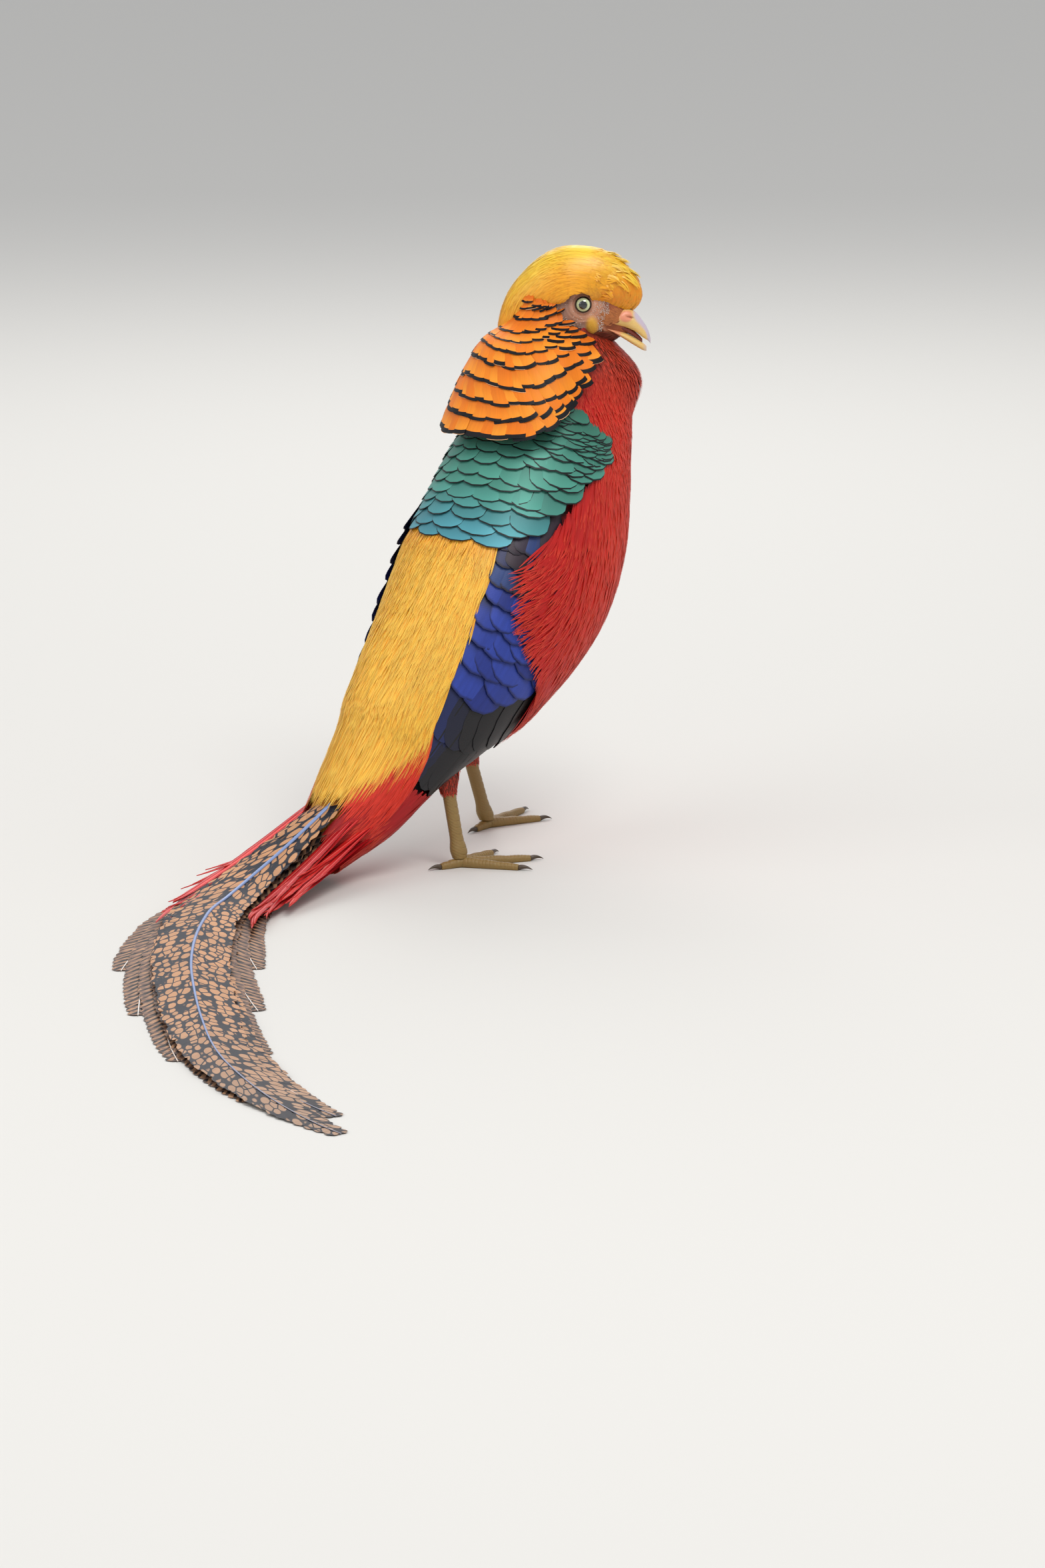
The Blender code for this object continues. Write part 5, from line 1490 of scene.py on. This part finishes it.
def add_wings():
    """Both folded wings: flight feathers, rounded cobalt coverts and dusky shoulder feathers."""
    kinds = {"quills": (quill_vane(), FLIGHT_ROWS, QUILL), "coverts": (covert_vane(), COVERT_ROWS, COVERT)}
    for side, sign in (("right", 1), ("left", -1)):
        for kind, (material, rows, form) in kinds.items():
            random = np.random.default_rng(SEED + 5 + len(kind))
            roots, tips, widths, highs = [], [], [], []
            for above, edge, count, width, high in rows:
                angle = mix(edge[0][0], edge[-1][0], (np.arange(count) + 0.5) / count)
                angle = angle + random.uniform(-1.2, 1.2, count)
                lift = 4.5 * (1 - smooth_step(66, 88, angle)) * (side == "left")
                tip = read(edge, angle) + random.normal(0, 0.05, count)
                lean = (-0.22 if kind == "coverts" else 0.02) * (angle - 60)
                roots.append(np.stack([tip + above, sign * (angle + lean)], axis=-1))
                tips.append(np.stack([tip, sign * angle], axis=-1))
                widths.append(width * random.uniform(0.92, 1.08, count))
                highs.append(high + lift)
            root, tip, width, high = (np.concatenate(values) for values in (roots, tips, widths, highs))
            camber = 0.6 if kind == "coverts" else 0.2
            obj = feathers(
                f"wing_{kind}_{side}", trunk_point, root, tip, width, -7.8, high, material, form,
                chart=TRACTS, steps=12, thick=0.2, cells=True, camber=camber, roll=-0.3 * sign,
            )
            finish(obj, "plumage_blue", *([f"wing_{side}"] if kind == "coverts" else []))


def add_breast(settings):
    """Scarlet coat of throat, breast, belly, flanks and vent, with long locks over the wing's edge."""
    material = breast_silk()
    for half, sign in (("right", 1), ("left", -1)):
        for part, low, high_s in (("breast", 7.0, 13.2), ("belly", 0.3, 7.0)):
            random = np.random.default_rng(SEED + 7 + len(part) + (sign > 0))
            root = scatter(random, settings.strands, low, high_s, 0.0, 1.0)
            s = root[:, 0]
            count = len(s)
            edge = read(RED_EDGE, s)
            angle = mix(edge - 2, 182, root[:, 1])
            near = smooth_step(34, 4, angle - edge)
            flank = near * smooth_step(8.4, 7.6, s) * smooth_step(4.6, 5.4, s)
            length = read(RED_LENGTHS, s) * random.uniform(0.8, 1.25, count)
            length = length * (1 + 0.8 * flank * random.random(count))
            drift = -21 * flank * random.uniform(0.5, 1.3, count)
            tip_s = np.maximum(s - length, -0.25)
            floor = read(RED_EDGE, tip_s) - 3 - 30 * flank
            tip_angle = np.maximum(angle + drift + random.normal(0, 1.4, count), floor)
            level = random.random(count)
            low_wing = smooth_step(5.6, 4.8, s) * smooth_step(1.2, 2.0, s)
            chin = smooth_step(11.9, 12.8, s) * smooth_step(125, 165, angle)
            high = mix(-0.25, 0.3, level) + 4.5 * chin + 1.3 * flank
            high = high - near * (s > 8.4) - 2.8 * near * low_wing
            root = np.stack([s, sign * angle], axis=-1)
            tip = np.stack([tip_s, sign * tip_angle], axis=-1)
            width = settings.width * random.uniform(0.7, 1.3, count) * (1 - 0.3 * flank)
            obj = feathers(
                f"{part}_strands_{half}", trunk_point, root, tip, width, -2.2, high, material,
                chart=TRACTS, steps=4, thick=0.12, sway=sign * random.normal(0, 0.8, count),
            )
            finish(obj, "plumage_red")


def add_slivers():
    """Long rosy strands that lie over the top of the left wing, beside the mantle."""
    random = np.random.default_rng(SEED + 8)
    root = np.stack([random.uniform(7.6, 8.9, SLIVERS), random.uniform(-92, -66, SLIVERS)], axis=-1)
    tip = root + np.stack([-random.uniform(1.2, 1.9, SLIVERS), random.uniform(2, 12, SLIVERS)], axis=-1)
    width, high = random.uniform(1.2, 2.4, SLIVERS), random.uniform(0.5, 2.8, SLIVERS)
    obj = feathers(
        "flank_strands", trunk_point, root, tip, width, -6.0, high, breast_silk(),
        chart=TRACTS, steps=6, thick=0.15,
    )
    finish(obj, "plumage_red")


def add_thighs():
    """Short feathers of the thighs, lying down the leg."""
    material = breast_silk()
    for name in LEGS:
        random = np.random.default_rng(SEED + 9)
        root = scatter(random, 1050, THIGH_BOTTOM + 2, THIGH_TOP, 0, 360)
        tip = root + np.stack([-random.uniform(8, 13, len(root)), random.normal(0, 4, len(root))], axis=-1)
        tip[:, 0] = np.maximum(tip[:, 0], 45.5 + random.uniform(0, 3, len(root)))

        def surface(z, angle, rise, name=name):
            return leg_point(name, z, angle, rise)

        width, high = random.uniform(1.3, 2.3, len(root)), random.uniform(-0.3, 0.9, len(root))
        obj = feathers(
            f"thigh_strands_{name}", surface, root, tip, width, -1.8, high, material,
            chart=(40, 104, 0, 360), steps=4,
        )
        finish(obj, "plumage_red")


# Central feathers of the tail, the upper one first: how far to the right the root and the tip lie. Then
# the side feathers, outermost last: length, and how far to the side the tip lies.
CENTRAL_LINES = ((5, -6), (-4, 12))
SIDE_FEATHERS = ((560, 15), (470, 26), (370, 36), (270, 42))
SIDE_WIDTH = 27
# Share of a tail feather's length, then share of its half width.
WEB = ((0, 0.3), (0.08, 0.6), (0.2, 0.85), (0.4, 1.0), (0.6, 0.96), (0.8, 0.72), (0.93, 0.42), (1, 0.12))
# Red coverts: angle of the root on the tail's base, length, how far right and left the tip lies, height.
COVERTS = ((50, 185, 40, 26, 9), (78, 150, 46, 30, 7.5), (106, 112, 48, 34, 6))


def stack_height(order, run):
    """Height of a tail feather over the floor, on those that lie below it."""
    lengths = [CENTRAL_LENGTH, CENTRAL_LENGTH - CENTRAL_STEP, *(length for length, _ in SIDE_FEATHERS)]
    below = sum(1 - smooth_step(length - 70, length + 10, run) for length in lengths[order + 1 :])
    return 0.7 + 1.7 * below - 4.0 * order * np.maximum(1 - run / TAIL_FALL, 0.0) ** 2


def tail_feather(name, order, length, start, end, width, clumps, web, shaft):
    """One feather of the tail: its web in clumps of barbs that leave a tapering shaft at 30 degrees."""
    random = np.random.default_rng(SEED + 30 + order)

    def surface(run, off, rise):
        line = mix(start, end, np.maximum(run / length, 0) ** 1.3)
        return tail_point(run, line + off, stack_height(order, run) + rise)

    roots, tips, widths = [], [], []
    for side in (-1, 1):
        share = (np.arange(clumps) + 0.5) / clumps
        half = width / 2 * read(WEB, share)
        run = share * (length - half * 0.9) - 6
        reach = half * random.uniform(0.93, 1.04, clumps)
        ahead = reach * random.uniform(1.35, 1.65, clumps)
        roots.append(np.stack([run, np.full(clumps, side * 0.3)], axis=-1))
        tips.append(np.stack([np.minimum(run + ahead, length), side * reach], axis=-1))
        widths.append(np.full(clumps, length / clumps) * mix(0.95, 0.75, share))
    root, tip, wide = (np.concatenate(values) for values in (roots, tips, widths))
    barb = feathers(
        name, surface, root, tip, wide * 1.5, 0.0, random.uniform(0.0, 0.08, len(root)), web, BARBS,
        chart=(-10, length, -width / 2 - 2, width / 2 + 2), steps=7, thick=0.06, strip=True, patch=0.0,
        bow=-3.0, fray=0.12, roll=0.05 * np.sign(tip[:, 1]),
    )
    finish(barb, "plumage_tail")
    run = np.linspace(-8, length - 8, 130)[:, None]
    turn = np.linspace(0, math.tau, 12, endpoint=False)[None, :]
    radius = mix(1.5, 0.35, np.clip(run / length, 0, 1) ** 0.7)
    run, flat = np.broadcast_arrays(run, 0 * turn)
    points = surface(run, radius * np.cos(turn), 0.35 + 0.75 * radius * np.sin(turn))
    chart = np.stack([run, flat, flat], axis=-1).reshape(-1, 3)
    finish(loft(f"{name}_shaft", points, shaft, chart), "plumage_tail")
    return barb


def add_tail(settings):
    """Two broad spotted feathers over four narrower barred ones at each side."""
    spotted, barred = central_vane(), side_vane()
    slate = shaft_horn("Central shaft, glossy", "7d92bd", "8a8790")
    ivory = shaft_horn("Side shaft, glossy", "e6ddd4", "d8b49c")
    for order, (start, end) in enumerate(CENTRAL_LINES):
        length = settings.length - CENTRAL_STEP * order
        name = f"tail_central_{order + 1}"
        shape = (order, length, start, end, settings.width, settings.clumps)
        tail_feather(name, *shape, spotted, slate)
    for order, (length, out) in enumerate(SIDE_FEATHERS, 2):
        for side, sign in (("right", 1), ("left", -1)):
            name = f"tail_side_{side}_{order - 1}"
            clumps = settings.clumps * length // CENTRAL_LENGTH
            shape = (order, length, sign * (order + 2.5), sign * out, SIDE_WIDTH, clumps)
            tail_feather(name, *shape, barred, ivory)
    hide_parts("tail")


def add_tail_coverts():
    """Long scarlet lances that fall beside the root of the tail."""
    random = np.random.default_rng(SEED + 11)
    roots, tips, widths, highs, lows = [], [], [], [], []
    for angle, length, right, left, high in COVERTS:
        for sign, out in ((1, right), (-1, left)):
            x, y, z = trunk_point(0.7, sign * angle, -5.0)
            for _ in range(11):
                roots.append((TAIL_START[0] - x, -y + random.uniform(-5, 5)))
                tips.append((length * random.uniform(0.62, 1.02), sign * out * random.uniform(0.6, 1.05)))
                widths.append(random.uniform(3.5, 8))
                lows.append(z - tail_lift(-10) + random.uniform(-2, 1))
                highs.append(high + random.uniform(-2.5, 1.5))
    root, tip, width, low, high = (np.array(values) for values in (roots, tips, widths, lows, highs))
    obj = feathers(
        "scarlet_coverts", tail_point, root, tip, width, low, high, scarlet_vane(), LANCE,
        chart=(-20, 200, -50, 50), steps=20, thick=0.2, camber=0.5, fray=0.35, cells=True, power=0.8,
    )
    finish(obj, "plumage_scarlet", "tail_coverts")


def add_shank(side, material):
    """One bare leg: broad scutes in front and a net of small ones behind, wider where the toes meet."""
    z, angle = grid((ANKLE_HEIGHT - 5, THIGH_BOTTOM + 6, 220), (0, 360, 48))
    turn = np.radians(angle)
    front = np.maximum(np.cos(turn - math.radians(SCUTE_HEADING)), 0) ** 0.5
    scute = ((z / 4.4 + 0.05 * np.cos(turn)) % 1.0) ** 5
    grain = ((z / 2.1 + angle / 45) % 1.0) ** 4
    rise = 0.4 * front * (1 - scute) + 0.2 * (1 - front) * (1 - grain)
    rise = rise + 1.1 * bell(z, ANKLE_HEIGHT, 5)
    reach = (TARSUS_RADIUS + rise)[..., None]
    rings = leg_middle(side, z) + reach * np.stack([1.2 * np.cos(turn), np.sin(turn), 0 * turn], axis=-1)
    finish(loft(f"shank_{side}", rings, material), "horn_leg", f"tarsus_{side}")


def digit_rings(foot, heading, length):
    """Rings of one toe, with a plate of horn every 2.4 mm on top and pads below, and of its claw."""
    turn = np.linspace(0, math.tau, 32, endpoint=False)[None, :]
    way = np.array([math.cos(math.radians(heading)), math.sin(math.radians(heading)), 0.0])
    across = np.array([-way[1], way[0], 0.0])
    share = np.linspace(-0.03, 1, 140)[:, None]
    pads = 0.6 * np.abs(np.sin(share * math.pi * 3))
    radius = TOE_RADIUS * mix(1.06, 0.62, np.clip(share, 0, 1)) + 0.3 * pads
    plate = ((share * length / 2.4) % 1.0) ** 5
    over = radius + 0.3 * (1 - plate) * smooth_step(0.0, 0.5, np.sin(turn))
    toe = foot + way * share[..., None] * length + (over * np.cos(turn))[..., None] * across
    toe[..., 2] = np.maximum(radius - 0.6 + over * np.sin(turn), 0.05)
    share = np.linspace(0, 1, 32)[:, None]
    radius = mix(CLAW_RADIUS, 0.15, share**1.3)
    lift = 1.7 + 1.4 * np.sin(share * math.pi * 0.75) - 1.9 * share**1.5
    claw = foot + way * (length + 0.3 + CLAW_LENGTH * share[..., None])
    claw = claw + (radius * np.cos(turn))[..., None] * across
    claw[..., 2] = np.maximum(lift + radius * np.sin(turn), 0.05)
    return toe, claw


def add_legs():
    """Bare legs and toes with their scutes raised, and the claws."""
    leg_horn = cloudy_horn("Leg scutes, dry horn", "6b4f2a", "a08244", 0.5, 260.0)
    claw_horn = cloudy_horn("Claw horn, smooth", "33261b", "5a4734", 0.35, 200.0)
    for side, leg in LEGS.items():
        add_shank(side, leg_horn)
        foot = np.array([*leg["foot"], 0.0])
        toes = []
        for i, (heading, length) in enumerate(zip(leg["toes"], TOE_LENGTHS), 1):
            toe, claw = digit_rings(foot, heading, length)
            toes.append(loft(f"toe_{side}_{i}", toe, leg_horn))
            finish(loft(f"claw_{side}_{i}_horn", claw, claw_horn), "horn_claw", f"claw_{side}_{i}")
        bpy.ops.object.select_all(action="DESELECT")
        for toe in toes:
            toe.select_set(True)
        bpy.context.view_layer.objects.active = toes[0]
        bpy.ops.object.join()
        toes[0].name = f"toes_{side}"
        finish(toes[0], "horn_leg", f"foot_{side}")


def add_stage(settings):
    """A plain pale floor, soft studio light and the camera at the photograph's angle."""
    bpy.context.scene.view_settings.view_transform = "Standard"
    material, _, shader = new_material("Studio floor, matt", 0.85, 0.2)
    shader.inputs["Base Color"].default_value = (*settings.floor, 1)
    mesh = bpy.data.meshes.new("floor")
    form = bmesh.new()
    bmesh.ops.create_grid(form, x_segments=1, y_segments=1, size=FLOOR_SIZE)
    form.to_mesh(mesh)
    form.free()
    mesh.materials.append(material)
    floor = bpy.data.objects.new("floor", mesh)
    bpy.context.collection.objects.link(floor)
    world = bpy.data.worlds.new("studio")
    bpy.context.scene.world = world
    world.use_nodes = True
    background = world.node_tree.nodes["Background"]
    background.inputs[0].default_value = (*linear("eef1f6"), 1)
    background.inputs[1].default_value = WORLD_LIGHT
    bearing, height = math.radians(CAMERA_BEARING), math.radians(CAMERA_HEIGHT)
    right = Vector((math.cos(bearing), math.sin(bearing), 0))
    level = math.cos(height)
    back = Vector((math.sin(bearing) * level, -math.cos(bearing) * level, math.sin(height)))
    up = back.cross(right)
    aim = Vector(SHIFT) + (right * AIM_RIGHT + up * AIM_UP) * MM
    for name, (out, near, high, share, size) in LAMPS.items():
        place = aim + right * out + back * near + Vector((0, 0, high))
        lamp = bpy.data.lights.new(name, "AREA")
        lamp.energy = settings.light * share
        lamp.size = size
        light = bpy.data.objects.new(name, lamp)
        light.location = place
        light.rotation_euler = (place - aim).to_track_quat("Z", "Y").to_euler()
        bpy.context.collection.objects.link(light)
    camera = bpy.data.cameras.new("camera")
    camera.sensor_width = CAMERA_SENSOR
    camera.lens = camera.sensor_width * FOCAL_PIXELS / FRAME_PIXELS
    camera.clip_end = 50
    eye = bpy.data.objects.new("camera", camera)
    eye.location = aim + back * CAMERA_DISTANCE * MM
    eye.rotation_euler = back.to_track_quat("Z", "Y").to_euler()
    bpy.context.collection.objects.link(eye)
    bpy.context.scene.camera = eye


class PHEASANT_OT_stage(bpy.types.Operator):
    """Make the floor, the light and the camera."""

    bl_idname = "pheasant.stage"
    bl_label = "Stage"

    def execute(self, context):
        add_stage(context.scene.pheasant_stage)
        return {"FINISHED"}


class PHEASANT_OT_skin(bpy.types.Operator):
    """Make the skin that lies under every feather."""

    bl_idname = "pheasant.skin"
    bl_label = "Skin"

    def execute(self, context):
        add_skin()
        return {"FINISHED"}


class PHEASANT_OT_eyes(bpy.types.Operator):
    """Make both eyes."""

    bl_idname = "pheasant.eyes"
    bl_label = "Eyes"

    def execute(self, context):
        add_eyes()
        return {"FINISHED"}


class PHEASANT_OT_bill(bpy.types.Operator):
    """Make the two halves of the bill and the mouth."""

    bl_idname = "pheasant.bill"
    bl_label = "Bill"

    def execute(self, context):
        add_bill()
        return {"FINISHED"}


class PHEASANT_OT_face(bpy.types.Operator):
    """Make the short feathers and the stubble of the face."""

    bl_idname = "pheasant.face"
    bl_label = "Face"

    def execute(self, context):
        add_face()
        return {"FINISHED"}


class PHEASANT_OT_crest(bpy.types.Operator):
    """Make the golden crest."""

    bl_idname = "pheasant.crest"
    bl_label = "Crest"

    def execute(self, context):
        add_crest(context.scene.pheasant_crest)
        return {"FINISHED"}


class PHEASANT_OT_cape(bpy.types.Operator):
    """Make the barred cape."""

    bl_idname = "pheasant.cape"
    bl_label = "Cape"

    def execute(self, context):
        add_cape(context.scene.pheasant_cape)
        return {"FINISHED"}


class PHEASANT_OT_mantle(bpy.types.Operator):
    """Make the green scales of the upper back."""

    bl_idname = "pheasant.mantle"
    bl_label = "Mantle"

    def execute(self, context):
        add_mantle(context.scene.pheasant_back)
        return {"FINISHED"}


class PHEASANT_OT_rump(bpy.types.Operator):
    """Make the golden lower back."""

    bl_idname = "pheasant.rump"
    bl_label = "Rump"

    def execute(self, context):
        add_rump(context.scene.pheasant_back)
        return {"FINISHED"}


class PHEASANT_OT_wings(bpy.types.Operator):
    """Make both folded wings."""

    bl_idname = "pheasant.wings"
    bl_label = "Wings"

    def execute(self, context):
        add_wings()
        return {"FINISHED"}


class PHEASANT_OT_breast(bpy.types.Operator):
    """Make the scarlet coat of breast and belly."""

    bl_idname = "pheasant.breast"
    bl_label = "Breast"

    def execute(self, context):
        add_breast(context.scene.pheasant_breast)
        return {"FINISHED"}


class PHEASANT_OT_slivers(bpy.types.Operator):
    """Make the rosy strands over the top of the left wing."""

    bl_idname = "pheasant.slivers"
    bl_label = "Slivers"

    def execute(self, context):
        add_slivers()
        return {"FINISHED"}


class PHEASANT_OT_thighs(bpy.types.Operator):
    """Make the feathers of the thighs."""

    bl_idname = "pheasant.thighs"
    bl_label = "Thighs"

    def execute(self, context):
        add_thighs()
        return {"FINISHED"}


class PHEASANT_OT_tail(bpy.types.Operator):
    """Make the spotted and the barred tail feathers."""

    bl_idname = "pheasant.tail"
    bl_label = "Tail"

    def execute(self, context):
        add_tail(context.scene.pheasant_tail)
        return {"FINISHED"}


class PHEASANT_OT_tail_coverts(bpy.types.Operator):
    """Make the scarlet coverts beside the tail."""

    bl_idname = "pheasant.tail_coverts"
    bl_label = "Tail coverts"

    def execute(self, context):
        add_tail_coverts()
        return {"FINISHED"}


class PHEASANT_OT_legs(bpy.types.Operator):
    """Make the bare legs, the toes and the claws."""

    bl_idname = "pheasant.legs"
    bl_label = "Legs"

    def execute(self, context):
        add_legs()
        return {"FINISHED"}


OPERATORS = (
    PHEASANT_OT_stage,
    PHEASANT_OT_skin,
    PHEASANT_OT_eyes,
    PHEASANT_OT_bill,
    PHEASANT_OT_face,
    PHEASANT_OT_crest,
    PHEASANT_OT_cape,
    PHEASANT_OT_mantle,
    PHEASANT_OT_rump,
    PHEASANT_OT_wings,
    PHEASANT_OT_breast,
    PHEASANT_OT_slivers,
    PHEASANT_OT_thighs,
    PHEASANT_OT_tail,
    PHEASANT_OT_tail_coverts,
    PHEASANT_OT_legs,
)
SETTINGS = {
    "pheasant_crest": CrestSettings,
    "pheasant_cape": CapeSettings,
    "pheasant_back": BackSettings,
    "pheasant_breast": BreastSettings,
    "pheasant_tail": TailSettings,
    "pheasant_stage": StageSettings,
}


class PHEASANT_PT_panel(bpy.types.Panel):
    """Lists the steps that dress the bird."""

    bl_label = "Pheasant"
    bl_space_type = "VIEW_3D"
    bl_region_type = "UI"
    bl_category = "Pheasant"

    def draw(self, context):
        for kind in OPERATORS:
            self.layout.operator(kind.bl_idname)


def register():
    for kind in (*SETTINGS.values(), *OPERATORS, PHEASANT_PT_panel):
        bpy.utils.register_class(kind)
    for name, kind in SETTINGS.items():
        setattr(bpy.types.Scene, name, PointerProperty(type=kind))


def unregister():
    for name in SETTINGS:
        delattr(bpy.types.Scene, name)
    for kind in (PHEASANT_PT_panel, *reversed(OPERATORS), *reversed(SETTINGS.values())):
        bpy.utils.unregister_class(kind)


def main():
    """Registers the add-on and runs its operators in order."""
    register()
    for kind in OPERATORS:
        getattr(bpy.ops.pheasant, kind.bl_idname.split(".")[1])()


if __name__ == "__main__":
    main()
